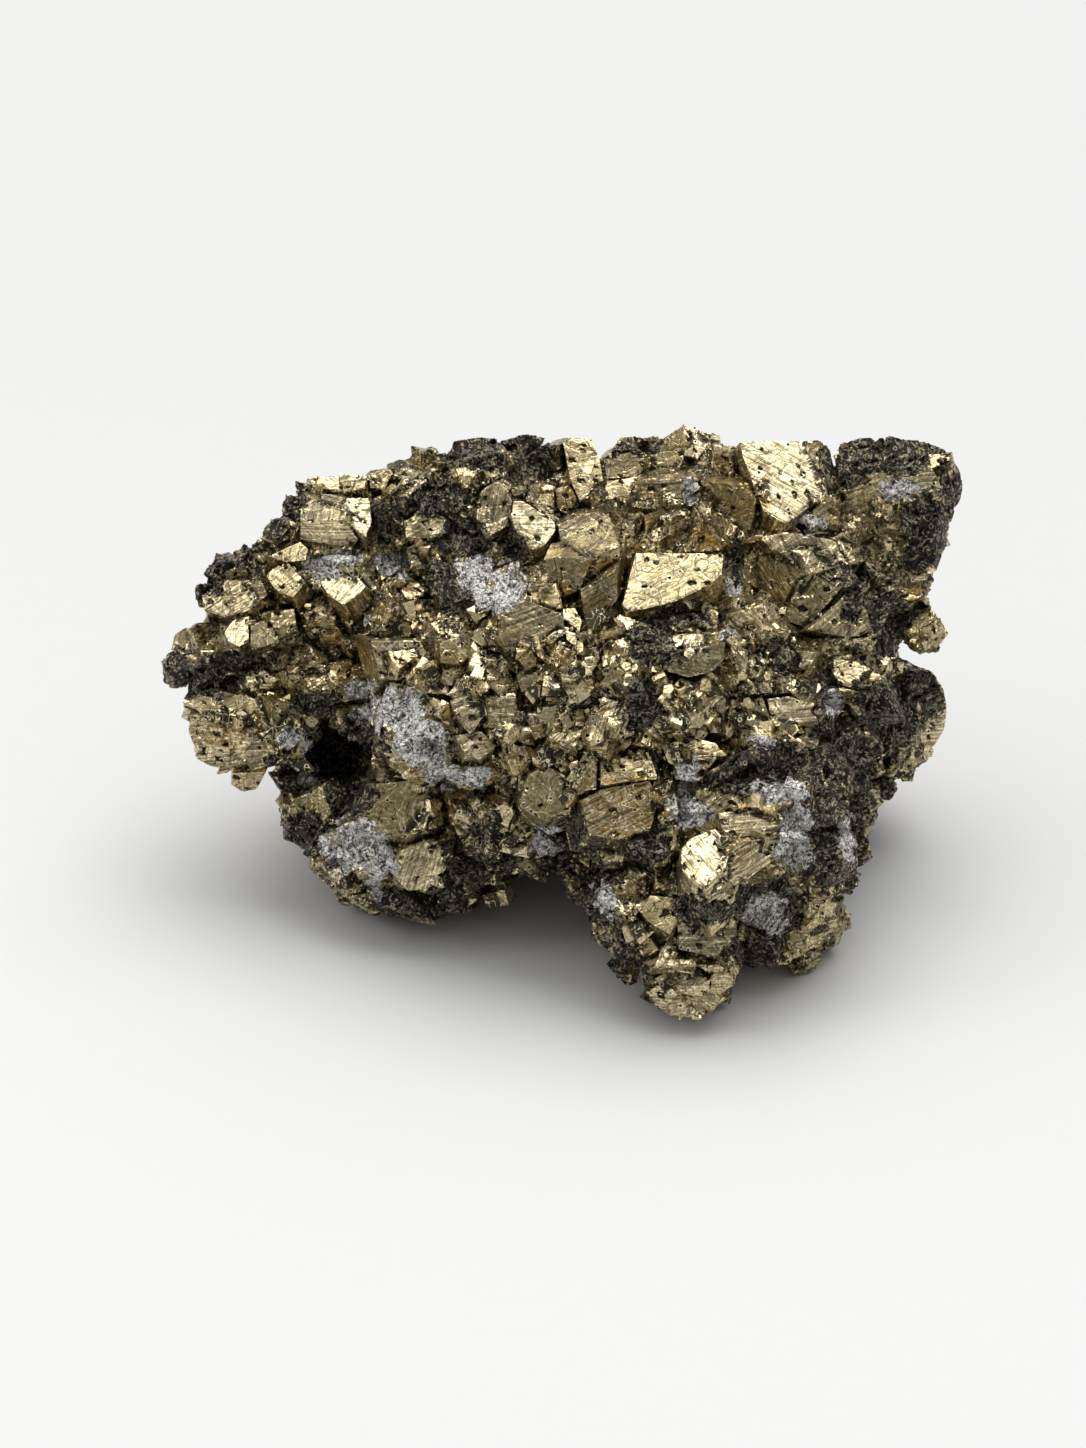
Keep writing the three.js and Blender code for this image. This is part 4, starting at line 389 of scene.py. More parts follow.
def cloud(points: Array, pitch: float, seed: float) -> Array:
    """Smooth noise from 0 to 1 with lumps about one pitch apart.

    Args:
        points: places in millimetres, one a row.
        pitch: distance between lumps in millimetres.
        seed: picks the pattern.

    Returns:
        One value for each point.
    """
    scaled = points / pitch
    cell = np.floor(scaled)
    inside = scaled - cell
    inside = inside * inside * (3.0 - 2.0 * inside)
    total = np.zeros(len(points))
    for dx, dy, dz in np.ndindex(2, 2, 2):
        key = (cell[:, 0] + dx) * 1.7 + (cell[:, 1] + dy) * 57.13
        value = fractions(key + (cell[:, 2] + dz) * 113.71 + seed)
        wide, deep, high = np.where((dx, dy, dz), inside, 1 - inside).T
        total += value * (wide * deep) * high
    return total


@dataclass(frozen=True)
class FrontView:
    """The view from the front, in millimetres, that the crystals are placed in."""

    height_deg: float = 35.0
    distance: float = 1200.0
    middle: tuple[float, float, float] = (-1.8, -1.0, 20.0)

    def towards(self) -> Array:
        """The unit vector towards the eye."""
        height = math.radians(self.height_deg)
        return np.array([0.0, -math.cos(height), math.sin(height)])

    def axes(self) -> Array:
        """The unit vectors to the right, upright and towards the eye, one a row."""
        return np.stack([np.array([1.0, 0.0, 0.0]), self.upright(), self.towards()])

    def upright(self) -> Array:
        """The view's own upright as a unit vector."""
        height = math.radians(self.height_deg)
        return np.array([0.0, math.sin(height), math.cos(height)])

    def eye(self) -> Array:
        """Where the eye is."""
        return np.array(self.middle) + self.distance * self.towards()

    def sight(self, across: float, up: float) -> Array:
        """The line of sight through a place in the view.

        Args:
            across: millimetres to the right of the middle.
            up: millimetres above the middle.

        Returns:
            A unit vector from the eye.
        """
        point = np.array(self.middle) + np.array([across, 0.0, 0.0]) + up * self.upright()
        return unit(point - self.eye())

    def place(self, points: Array) -> tuple[Array, Array]:
        """Where points are seen.

        Args:
            points: places in millimetres, one a row.

        Returns:
            How far across and how far up each is in the view.
        """
        away = points - self.eye()
        scale = self.distance / -(away @ self.towards())
        return away[:, 0] * scale, (away @ self.upright()) * scale


VIEW = FrontView()


def nearest_on(outline: Outline, across: float, up: float) -> tuple[float, float, bool]:
    """The point of an outline that is nearest to a place in the front view.

    Args:
        outline: the corners, in order.
        across: millimetres to the right of the middle.
        up: millimetres above the middle.

    Returns:
        The point, and whether the place is inside the outline.
    """
    nearest, place, inside = math.inf, (0.0, 0.0), False
    for (x, y), (u, v) in zip(outline, outline[1:] + outline[:1]):
        t = ((across - x) * (u - x) + (up - y) * (v - y)) / ((u - x) ** 2 + (v - y) ** 2)
        t = min(1.0, max(0.0, t))
        point = (x + t * (u - x), y + t * (v - y))
        far = math.dist(point, (across, up))
        if far < nearest:
            nearest, place = far, point
        if (v > up) != (y > up) and across < (x - u) * (up - v) / (y - v) + u:
            inside = not inside
    return *place, inside


def cut_along(outline: Array, place: Array, normal: Array) -> Array:
    """What a line leaves of an outline, on the side that the line's normal points away from.

    Args:
        outline: the corners, one a row, in order.
        place: a point of the line.
        normal: the line's normal.

    Returns:
        The corners that are left, with the new ones on the line.
    """
    kept: list[Array] = []
    past = (outline - place) @ normal
    for corner, following, here, there in zip(
        outline, np.roll(outline, -1, axis=0), past, np.roll(past, -1)
    ):
        if here <= 0:
            kept.append(corner)
        if (here < 0) != (there < 0) and here != there:
            kept.append(corner + here / (here - there) * (following - corner))
    return np.array(kept)


@dataclass(frozen=True)
class Stand:
    """How the crystals stand on the lumps: the sizes that both placings share."""

    rise: float = 0.8
    skirt: float = 2.2
    skirt_share: float = 0.6
    same_corner: float = 0.7
    levelling_rounds: int = 12
    levelling_pull: float = 0.15
    filling_step: float = 4.3
    filling_shake: float = 1.7
    filling_widest: float = 3.6
    filling_corners: int = 8
    filling_depth: float = 4.0
    filling_flare: float = 1.12
    filling_proud: float = 0.5
    filling_spread: float = 1.1
    filling_compass: float = 80.0
    filling_heights: tuple[float, float] = (8.0, 72.0)
    filling_smallest: float = 2.5
    filling_shrinks: tuple[float, ...] = (1.0, 0.8, 0.62)
    strewn_tries: int = 70
    strewn_smallest: float = 6.0
    strewn_spread: float = 4.5
    strewn_spacing: float = 6.2
    strewn_sink: float = 1.6
    strewn_lowest: float = 3.5
    strewn_faces_away: float = 0.1
    strewn_room: float = 0.74
    strewn_buried: float = 1.02
    strewn_habits: tuple[Habit, ...] = (
        Habit.BEVELLED, Habit.CUBE, Habit.OCTAHEDRON, Habit.CUBE, Habit.PYRITOHEDRON,
    )


STAND = Stand()


class Lumps:
    """The massif as plain ellipsoids, which the crystals are placed on."""

    def __init__(self) -> None:
        """Keeps the centres and half lengths as arrays."""
        self.centres = np.array([centre for centre, _ in LUMPS], dtype=float)
        self.halves = np.array([half for _, half in LUMPS], dtype=float)

    def reach(self, direction: Array) -> float:
        """How far from the eye a line of sight meets the massif.

        Args:
            direction: the line's unit vector.

        Returns:
            Millimetres from the eye; past the outline, where the line passes nearest.
        """
        start = (VIEW.eye() - self.centres) / self.halves
        step = direction / self.halves
        a = (step * step).sum(1)
        b = (start * step).sum(1)
        c = (start * start).sum(1) - 1.0
        inside = b * b - a * c
        if (inside > 0).any():
            hit = inside > 0
            return float(((-b[hit] - np.sqrt(inside[hit])) / a[hit]).min())
        nearest = int(np.argmin(c - b * b / a))
        return float(-b[nearest] / a[nearest])

    def meets(self, direction: Array, share: float) -> bool:
        """Whether a line of sight passes through the lumps.

        Args:
            direction: the line's unit vector.
            share: which share of their size the lumps are taken at.

        Returns:
            Whether it meets one of them.
        """
        start = (VIEW.eye() - self.centres) / self.halves
        step = direction / self.halves
        gap = (start * start).sum(1) - (start * step).sum(1) ** 2 / (step * step).sum(1)
        return bool((gap < share * share).any())

    def hollowed(self, points: Array) -> tuple[Array, Array]:
        """Points inside the hollows, moved back to the hollows' far walls.

        Args:
            points: places in millimetres, one a row.

        Returns:
            The moved points, and how far each lies in a hollow, from 0 to 1.
        """
        moved, inside = points.copy(), np.zeros(len(points))
        for hollow in HOLLOWS:
            middle = self.on_surface(hollow.across, hollow.up, -hollow.behind)
            right, upright, depth = ((points - middle) @ VIEW.axes().T / hollow.half).T
            ragged = 1 + 0.5 * (cloud(points, 1.7, 91.0) - 0.5)
            wall = np.sqrt(np.clip(1 - (right**2 + upright**2) * ragged**2, 0, 1))
            held = (wall > 0) & (np.abs(depth) < wall)
            back = (depth + wall) * (1 - hollow.left_over) * hollow.half[2]
            moved -= np.where(held, back, 0.0)[:, None] * VIEW.towards()
            inside = np.maximum(inside, np.where(held, smooth_step(0.0, 0.5, wall), 0.0))
        return moved, inside

    def on_surface(self, across: float, up: float, proud: float) -> Array:
        """The point of the massif at a place in the front view, raised towards the eye."""
        direction = VIEW.sight(across, up)
        return VIEW.eye() + direction * (self.reach(direction) - proud)

    def inside_outline(self, centre: Array, radius: float) -> bool:
        """Whether a ball lies inside the massif's outline in the front view."""
        for angle in (math.radians(60 * k) for k in range(6)):
            edge = centre + radius * math.cos(angle) * np.array([1.0, 0.0, 0.0])
            edge = edge + radius * math.sin(angle) * VIEW.upright()
            if not self.meets(unit(edge - VIEW.eye()), 1.0):
                return False
        return True


def facing(look: tuple[float, float]) -> Array:
    """The unit vector for a compass and a height in degrees."""
    (turn, across), (high, flat) = ((math.sin(a), math.cos(a)) for a in map(math.radians, look))
    return np.array([turn * flat, -across * flat, high])


def turn_from_z(direction: Array) -> Array:
    """The shortest turn that brings +Z to a direction, as a 3 by 3 matrix."""
    turn = Vector((0, 0, 1)).rotation_difference(Vector(direction))
    return np.array(turn.to_matrix())


def turn_about(axis: str, angle: float) -> Array:
    """A turn about one axis, in radians, as a 3 by 3 matrix."""
    return np.array(Matrix.Rotation(angle, 3, axis))


def form_corners(habit: Habit) -> Array:
    """The corners of a habit, for a crystal of size 2.

    Args:
        habit: which crystal faces it shows.

    Returns:
        One corner a row.
    """
    cube, pyritohedron, octahedron = FORMS[habit]
    planes: list[tuple[Array, float]] = []
    for s in (1, -1):
        if cube:
            planes += [(np.roll((s, 0, 0), k), cube) for k in range(3)]
        for t in (1, -1):
            if pyritohedron:
                planes += [(np.roll((2 * s, t, 0), k), pyritohedron) for k in range(3)]
            if octahedron:
                planes += [(np.array((s, t, u)), octahedron) for u in (1, -1)]
    normals = unit(np.array([normal for normal, _ in planes], dtype=float))
    depths = np.array([depth for _, depth in planes])
    corners: list[Array] = []
    for i in range(len(planes)):
        for j in range(i + 1, len(planes)):
            for k in range(j + 1, len(planes)):
                trio = normals[[i, j, k]]
                if abs(np.linalg.det(trio)) < 1e-6:
                    continue
                corner = np.linalg.solve(trio, depths[[i, j, k]])
                if (normals @ corner > depths + 1e-6).any():
                    continue
                if all(np.linalg.norm(corner - c) > 1e-4 for c in corners):
                    corners.append(corner)
    return np.array(corners)


HABIT_CORNERS: dict[Habit, Array] = {habit: form_corners(habit) for habit in Habit}


@dataclass
class Crystal:
    """One crystal: its corners in millimetres, the way it grew and its own number."""

    corners: Array
    outward: Array
    seed: int
    main: bool = False
    rough: float = 0.0
    normals: Array = field(init=False)
    depths: Array = field(init=False)
    middle: Array = field(init=False)

    def __post_init__(self) -> None:
        """Works out the planes of the faces from the corners."""
        self.middle = self.corners.mean(0)
        points, triangles = hull_of(self.corners)
        a, b, c = points[triangles].transpose(1, 0, 2)
        normals = np.cross(b - a, c - a)
        order = np.argsort(-np.linalg.norm(normals, axis=1))
        normals = unit(normals[order])
        depths = (normals * (a[order] - self.middle)).sum(1)
        kept: list[int] = []
        for n in range(len(normals)):
            if all(normals[n] @ normals[m] < 0.998 for m in kept):
                kept.append(n)
        self.normals, self.depths = normals[kept], depths[kept]

    def radius(self) -> float:
        """The distance from the middle to the farthest corner."""
        return float(np.linalg.norm(self.corners - self.middle, axis=1).max())


class Cluster:
    """Every crystal of the specimen, placed on the lumps."""

    def __init__(self, lumps: Lumps) -> None:
        """Keeps the lumps that the crystals stand on."""
        self.lumps = lumps

    def levelled(self) -> tuple[Array, Array, Array]:
        """The planes of the main faces. Where two outlines share a corner, both faces are moved
        along the line of sight, a little at a time, until they nearly meet there.

        Returns:
            For each main face, the line of sight to its middle, its normal and its distance
            from the eye.
        """
        sights = np.array([VIEW.sight(*np.mean(spec.outline, axis=0)) for spec in FACED_CRYSTALS])
        normals = np.array([facing(spec.look) for spec in FACED_CRYSTALS])
        start = np.array([
            self.lumps.reach(sight) - spec.proud - STAND.rise
            for sight, spec in zip(sights, FACED_CRYSTALS)
        ])
        pairs: list[tuple[int, int, Array]] = []
        for i, one in enumerate(FACED_CRYSTALS):
            for j in range(i + 1, len(FACED_CRYSTALS)):
                for a in one.outline:
                    for b in FACED_CRYSTALS[j].outline:
                        if math.dist(a, b) < STAND.same_corner:
                            middle = VIEW.sight((a[0] + b[0]) / 2, (a[1] + b[1]) / 2)
                            pairs.append((i, j, middle))
        first, second = (np.array([pair[k] for pair in pairs]) for k in (0, 1))
        shared = np.array([pair[2] for pair in pairs])
        count = np.full(len(start), STAND.levelling_pull)
        np.add.at(count, np.concatenate([first, second]), 1)
        along = (sights * normals).sum(1)
        distance = start.copy()
        for _ in range(STAND.levelling_rounds):
            move = STAND.levelling_pull * (start - distance)
            met = [
                distance[n] * along[n] / (shared * normals[n]).sum(1) for n in (first, second)
            ]
            np.add.at(move, first, (met[1] - met[0]) / 2)
            np.add.at(move, second, (met[0] - met[1]) / 2)
            distance = distance + move / count
        return sights, normals, distance

    def faced(self) -> list[Crystal]:
        """The crystals of the front that are known by their main face.

        Returns:
            One crystal for each entry of the list above.
        """
        planes = zip(FACED_CRYSTALS, *self.levelled())
        return [self.behind(spec, *plane, n) for n, (spec, *plane) in enumerate(planes)]

    def behind(self, spec: Faced, sight: Array, normal: Array, distance: float, seed: int,
               main: bool = True) -> Crystal:
        """A crystal whose corners lie where the lines of sight meet the plane of its main face,
        and whose sides slope out behind the face, less so at the outline of the specimen.

        Args:
            spec: the crystal's outline, depth and flare.
            sight: the line of sight to the face's middle.
            normal: the face's normal.
            distance: how far the middle is from the eye.
            seed: the crystal's own number.
            main: whether it is one of the crystals with a known face.

        Returns:
            The crystal.
        """
        middle = VIEW.eye() + sight * distance
        rays = np.array([VIEW.sight(*corner) for corner in spec.outline])
        along = distance * (sight @ normal) / (rays @ normal)
        front = VIEW.eye() + rays * along[:, None]
        drop = normal * (spec.depth + STAND.rise)
        back = []
        for out in front - middle:
            wide = 1 + min(STAND.skirt_share, STAND.skirt / np.linalg.norm(out))
            corner = middle + out * wide - drop
            inside = spec.flare > 1 and self.lumps.meets(unit(corner - VIEW.eye()), 0.97)
            back.append(corner if inside else middle + out * spec.flare - drop)
        front, back = np.roll(front, -spec.run, 0), np.roll(back, -spec.run, 0)
        return Crystal(np.vstack([front, back]), normal, seed, main, spec.rough)

    def knob(self, spec: Knob) -> Crystal:
        """A small crystal of the front.

        Args:
            spec: its habit, place, size and rise.

        Returns:
            The crystal.
        """
        seed = math.floor(100 * spec.across + 1000 * spec.up + 0.5)
        look = (50 * (fraction(seed) - 0.5), 20 + 45 * fraction(seed + 1))
        turn = turn_from_z(facing(look)) @ turn_about("Z", math.radians(90 * fraction(seed + 2)))
        corners = HABIT_CORNERS[spec.habit] * spec.size / 2
        middle = self.lumps.on_surface(spec.across, spec.up, spec.proud)
        return Crystal(corners @ turn.T + middle, facing(look), seed)

    def filling(self) -> list[Crystal]:
        """Crystals on a shaken grid over the front, grown until they meet their neighbours.

        Returns:
            The crystals.
        """
        places: list[tuple[Array, int]] = []
        seed = 500
        for column in range(math.ceil(82 / STAND.filling_step)):
            for row in range(math.ceil(60 / STAND.filling_step)):
                seed += 7
                shaken = np.array([fraction(seed), fraction(seed + 1)]) * 2 - 1
                at = np.array([column, row]) * STAND.filling_step - (40, 30)
                at = at + STAND.filling_shake * shaken
                if not any(nearest_on(spec.outline, *at)[2] for spec in FACED_CRYSTALS):
                    if self.lumps.meets(VIEW.sight(*at), 0.97):
                        places.append((at, seed))
        made: list[Crystal] = []
        for at, seed in places:
            others = [other for other, _ in places if other is not at]
            shape = self.grown(at, seed, others)
            if shape is None:
                continue
            low, high = STAND.filling_heights
            look = (
                STAND.filling_compass * (fraction(seed + 3) - 0.5),
                low + (high - low) * fraction(seed + 4),
            )
            sight = VIEW.sight(*shape.mean(0))
            rise = STAND.rise + STAND.filling_proud
            rise += STAND.filling_spread * (fraction(seed + 5) - 0.5)
            depth = STAND.filling_depth - STAND.rise
            spec = Faced(tuple(map(tuple, shape)), look, 0.0, depth, STAND.filling_flare)
            distance = self.lumps.reach(sight) - rise
            made.append(self.behind(spec, sight, facing(look), distance, seed, main=False))
        return made

    def grown(self, at: Array, seed: int, others: list[Array]) -> Array | None:
        """The outline of a crystal that grew until it met its neighbours.

        Args:
            at: its place in the front view.
            seed: its own number.
            others: the places of the other filling crystals.

        Returns:
            The corners in the front view, or nothing where there is no room for it.
        """
        turns = [
            2 * math.pi * (k + 0.6 * fraction(seed + 20 + k)) / STAND.filling_corners
            for k in range(STAND.filling_corners)
        ]
        wide = STAND.filling_widest
        outline = at + wide * np.array([(math.cos(turn), math.sin(turn)) for turn in turns])
        walls = [(at + other) / 2 for other in others]
        walls += [np.array(nearest_on(spec.outline, *at)[:2]) for spec in FACED_CRYSTALS]
        for wall in walls:
            if math.dist(wall, at) < 2 * wide and len(outline):
                outline = cut_along(outline, wall, wall - at)
        for share in STAND.filling_shrinks:
            shape = at + share * (outline - at)
            if all(self.lumps.meets(VIEW.sight(*corner), 0.99) for corner in shape):
                x, y = shape.T
                area = abs(x @ np.roll(y, -1) - y @ np.roll(x, -1)) / 2
                return shape if area >= STAND.filling_smallest else None
        return None

    def strewn(self) -> list[Crystal]:
        """Crystals of the back, the sides and the underside, growing outwards.

        Returns:
            The crystals, spaced apart.
        """
        made: list[Crystal] = []
        placed: list[Array] = []
        golden = math.pi * (3 - math.sqrt(5))
        for index, (centre, half) in enumerate(zip(self.lumps.centres, self.lumps.halves)):
            others = np.arange(len(self.lumps.centres)) != index
            for i in range(STAND.strewn_tries):
                height = 1 - (2 * (i + 0.5)) / STAND.strewn_tries
                ring = math.sqrt(1 - height * height)
                angle = i * golden + index
                ball = np.array([ring * math.cos(angle), ring * math.sin(angle), height])
                point = half * ball + centre
                outwards = unit(ball / half)
                seed = 100 * index + i
                size = STAND.strewn_smallest + STAND.strewn_spread * fraction(seed) ** 2
                inner = (point - self.lumps.centres[others]) / self.lumps.halves[others]
                if (
                    outwards @ VIEW.towards() > -STAND.strewn_faces_away
                    or (np.linalg.norm(inner, axis=1) < STAND.strewn_buried).any()
                    or any(np.linalg.norm(p - point) < STAND.strewn_spacing for p in placed)
                    or not self.lumps.inside_outline(point, STAND.strewn_room * size)
                    or point[2] < STAND.strewn_lowest
                ):
                    continue
                turn = turn_from_z(outwards)
                turn = turn @ turn_about("X", fraction(seed + 1) - 0.5)
                turn = turn @ turn_about("Y", fraction(seed + 2) - 0.5)
                turn = turn @ turn_about("Z", 2 * math.pi * fraction(seed + 3))
                middle = point - outwards * STAND.strewn_sink
                placed.append(middle)
                habit = STAND.strewn_habits[int(len(STAND.strewn_habits) * fraction(seed + 4))]
                corners = HABIT_CORNERS[habit] * size / 2
                made.append(Crystal(corners @ turn.T + middle, outwards, seed))
        return made


def hull_of(corners: Array) -> tuple[Array, Array]:
    """The convex hull of some corners.

    Args:
        corners: one corner a row.

    Returns:
        Its points, and its triangles as rows of three point numbers, facing outwards.
    """
    made = bmesh.new()
    for corner in corners:
        made.verts.new(corner)
    bmesh.ops.convex_hull(made, input=made.verts)
    inner = [vert for vert in made.verts if not vert.link_faces]
    bmesh.ops.delete(made, geom=inner, context="VERTS")
    bmesh.ops.triangulate(made, faces=made.faces)
    bmesh.ops.recalc_face_normals(made, faces=made.faces)
    made.verts.index_update()
    points = np.array([vert.co for vert in made.verts])
    triangles = np.array([[vert.index for vert in face.verts] for face in made.faces])
    made.free()
    return points, triangles


def above_ground(corners: Array) -> Array:
    """Cuts a convex body off at the ground.

    Args:
        corners: the body's corners, one a row.

    Returns:
        The corners of the part above the ground.
    """
    low, high = corners[corners[:, 2] < 0], corners[corners[:, 2] >= 0]
    if len(low) == 0:
        return corners
    share = (high[:, None, 2] / (high[:, None, 2] - low[None, :, 2]))[..., None]
    crossing = high[:, None] + (low[None] - high[:, None]) * share
    crossing[..., 2] = 0.0
    return np.vstack([high, crossing.reshape(-1, 3)])


@dataclass
class Skin:
    """A closed skin of triangles: its points, triangles and the plane each one lies in."""

    points: Array
    triangles: Array
    planes: Array

    def split(self, limits: Array) -> bool:
        """Cuts each edge that is longer than the limit of a triangle beside it.

        Args:
            limits: the longest edge each triangle may have.

        Returns:
            Whether anything was cut.
        """
        total = len(self.points)
        pairs = np.stack([self.triangles, np.roll(self.triangles, -1, axis=1)], axis=2)
        pairs = np.sort(pairs, axis=2).astype(np.int64)
        keys, inverse = np.unique(pairs[..., 0] * total + pairs[..., 1], return_inverse=True)
        inverse = inverse.reshape(-1, 3)
        first, second = keys // total, keys % total
        length = np.linalg.norm(self.points[first] - self.points[second], axis=1)
        limit = np.full(len(keys), np.inf)
        np.minimum.at(limit, inverse.ravel(), np.repeat(limits, 3))
        cut = length > limit
        if not cut.any():
            return False
        number = np.full(len(keys), -1)
        number[cut] = total + np.arange(cut.sum())
        middles = (self.points[first[cut]] + self.points[second[cut]]) / 2
        self.points = np.vstack([self.points, middles])
        mids = number[inverse]
        count = (mids >= 0).sum(1)
        kept, planes = [self.triangles[count == 0]], [self.planes[count == 0]]
        for cuts in (1, 2, 3):
            rows = np.nonzero(count == cuts)[0]
            if len(rows) == 0:
                continue
            made = self.pieces(rows, mids[rows], cuts)
            kept.append(made.reshape(-1, 3))
            planes.append(np.repeat(self.planes[rows], cuts + 1))
        self.triangles, self.planes = np.vstack(kept), np.concatenate(planes)
        return True

    def pieces(self, rows: Array, mids: Array, cuts: int) -> Array:
        """The triangles that some cut triangles become.

        Args:
            rows: which triangles are cut.
            mids: the new point on each of their edges, or -1.
            cuts: how many of their edges are cut.

        Returns:
            For each of them, its new triangles.
        """
        corners = self.triangles[rows]
        if cuts == 1:
            shift = np.argmax(mids >= 0, axis=1)
        elif cuts == 2:
            shift = (np.argmin(mids >= 0, axis=1) + 1) % 3
        else:
            shift = np.zeros(len(rows), dtype=int)
        turn = (np.arange(3)[None] + shift[:, None]) % 3
        a, b, c = np.take_along_axis(corners, turn, 1).T
        ab, bc, ca = np.take_along_axis(mids, turn, 1).T
        if cuts == 1:
            rows_made = [(a, ab, c), (ab, b, c)]
        elif cuts == 2:
            rows_made = [(a, ab, bc), (ab, b, bc), (a, bc, c)]
        else:
            rows_made = [(a, ab, ca), (ab, b, bc), (ca, bc, c), (ab, bc, ca)]
        return np.stack([np.stack(row, axis=1) for row in rows_made], axis=1)


@dataclass(frozen=True)
class Finish:
    """How finely the crystals are made and how deep their surface is worked, in millimetres."""

    coarse: float = 1.6
    front: float = 0.27
    back: float = 0.45
    under: float = 0.7
    rounds: int = 12
    buried: float = 0.35
    edge: float = 0.05
    block: float = 2.2
    step: float = 0.16
    tilt: float = 0.16
    facet: float = 2.1
    facet_lean: float = 0.85
    terrace: float = 0.12
    pit_pitch: float = 1.5
    pit_depth: float = 0.28
    wear_and_painted_light: float = 0.06
    grain: float = 0.42
    edge_width: float = 0.3
    chip_pitch: float = 1.3
    terrace_pitch: float = 1.7
    terrace_stretch: float = 2.6
    terraces: float = 4.0


FINISH = Finish()


def cells(s: Array, t: Array, pitch: float, seed: float, count: int = 4) -> tuple[Array, ...]:
    """The nearest centre of a shaken square grid, by the larger of the two distances.

    Args:
        s: places along the first direction in millimetres.
        t: places along the second direction in millimetres.
        pitch: the grid's pitch in millimetres.
        seed: picks the pattern.
        count: how many fractions each centre has.

    Returns:
        The offsets along both directions in millimetres, then the fractions.
    """
    s, t = s / pitch, t / pitch
    cell_s, cell_t = np.floor(s), np.floor(t)
    best = np.full(len(s), 1e9)
    kept = np.zeros((2 + count, len(s)))
    for ds, dt in np.ndindex(3, 3):
        corner_s, corner_t = cell_s + ds - 1, cell_t + dt - 1
        key = corner_s * 3.17 + corner_t * 71.3 + seed
        off_s = s - (corner_s + fractions(key))
        off_t = t - (corner_t + fractions(key + 11.1))
        far = np.maximum(np.abs(off_s), np.abs(off_t))
        near = far < best
        own = [fractions(key + 23.7 * (n + 1)) for n in range(count)]
        best = np.where(near, far, best)
        kept = np.where(near, [off_s * pitch, off_t * pitch, *own], kept)
    return tuple(kept)


def cells_in_space(points: Array, pitch: float, seed: float) -> tuple[Array, ...]:
    """The nearest centres of a shaken grid in space.

    Args:
        points: places in millimetres, one a row.
        pitch: the grid's pitch in millimetres.
        seed: picks the pattern.

    Returns:
        The distances to the nearest and the second nearest centre in pitches, the offset
        from the nearest one in millimetres, and three fractions of that centre.
    """
    scaled = points / pitch
    cell = np.floor(scaled)
    first, second = np.full(len(points), 9.0), np.full(len(points), 9.0)
    offset, own = np.zeros((len(points), 3)), np.zeros((len(points), 3))
    for step in np.ndindex(3, 3, 3):
        corner = cell + step - 1
        key = corner @ (1.31, 57.7, 113.9) + seed
        shaken = np.stack([fractions(key + add) for add in (0.0, 9.3, 21.7)], axis=1)
        off = scaled - corner - shaken
        far = np.linalg.norm(off, axis=1)
        near = far < first
        second = np.where(near, first, np.minimum(second, far))
        first = np.where(near, far, first)
        offset[near], own[near] = off[near], fractions(shaken[near] * 37.0 + 1.0)
    return first, second, offset * pitch, own


def patch_mask(points: Array, patches: tuple[Patch, ...], seed: float) -> Array:
    """How far each point lies in a set of patches, with ragged borders.

    Args:
        points: places in millimetres, one a row.
        patches: the ovals of the front view.
        seed: picks the raggedness.

    Returns:
        0 outside and 1 inside for each point.
    """
    across, up = VIEW.place(points)
    ragged = 0.7 * (cloud(points, 2.2, seed) - 0.5) + 0.9 * (cloud(points, 0.8, seed + 3) - 0.5)
    nearest = np.full(len(points), 9.0)
    for patch in patches:
        off = np.hypot((across - patch.across) / patch.half_across, (up - patch.up) / patch.half_up)
        nearest = np.minimum(nearest, off)
    return 1.0 - smooth_step(0.85, 1.25, nearest + ragged)


@dataclass(frozen=True)
class Stain:
    """One kind of cover: its patches of the front view, and the noises that place it elsewhere.

    `broad` and `fine` are the pitch of a noise in millimetres and its seed, and `bounds` are
    where their sum begins to show and where it shows in full.
    """

    patches: tuple[Patch, ...]
    seed: float
    broad: tuple[float, float]
    fine: tuple[float, float]
    bounds: tuple[float, float]


STAINS: tuple[Stain, ...] = (
    Stain(DARK_PATCHES, 13.0, (9.0, 5.0), (3.5, 9.0), (0.78, 0.95)),
    Stain(RUST_PATCHES, 17.0, (5.0, 40.0), (1.6, 43.0), (0.98, 1.15)),
    Stain(WHITE_PATCHES, 19.0, (6.0, 70.0), (2.0, 73.0), (1.12, 1.22)),
)


def cover_of(points: Array, facing_front: Array) -> Array:
    """How dark, rusty and white the surface is at each point.

    Args:
        points: places in millimetres, one a row.
        facing_front: how far each point belongs to the front view, from 0 to 1.

    Returns:
        Rows of dark, rust and white, each from 0 to 1.
    """
    own, seen = [], []
    for stain in STAINS:
        noise = cloud(points, *stain.broad) + 0.5 * cloud(points, *stain.fine)
        own.append(smooth_step(*stain.bounds, noise))
        seen.append(patch_mask(points, stain.patches, stain.seed))
    share = facing_front[:, None]
    return np.stack(seen, axis=1) * share + np.stack(own, axis=1) * (1 - share)


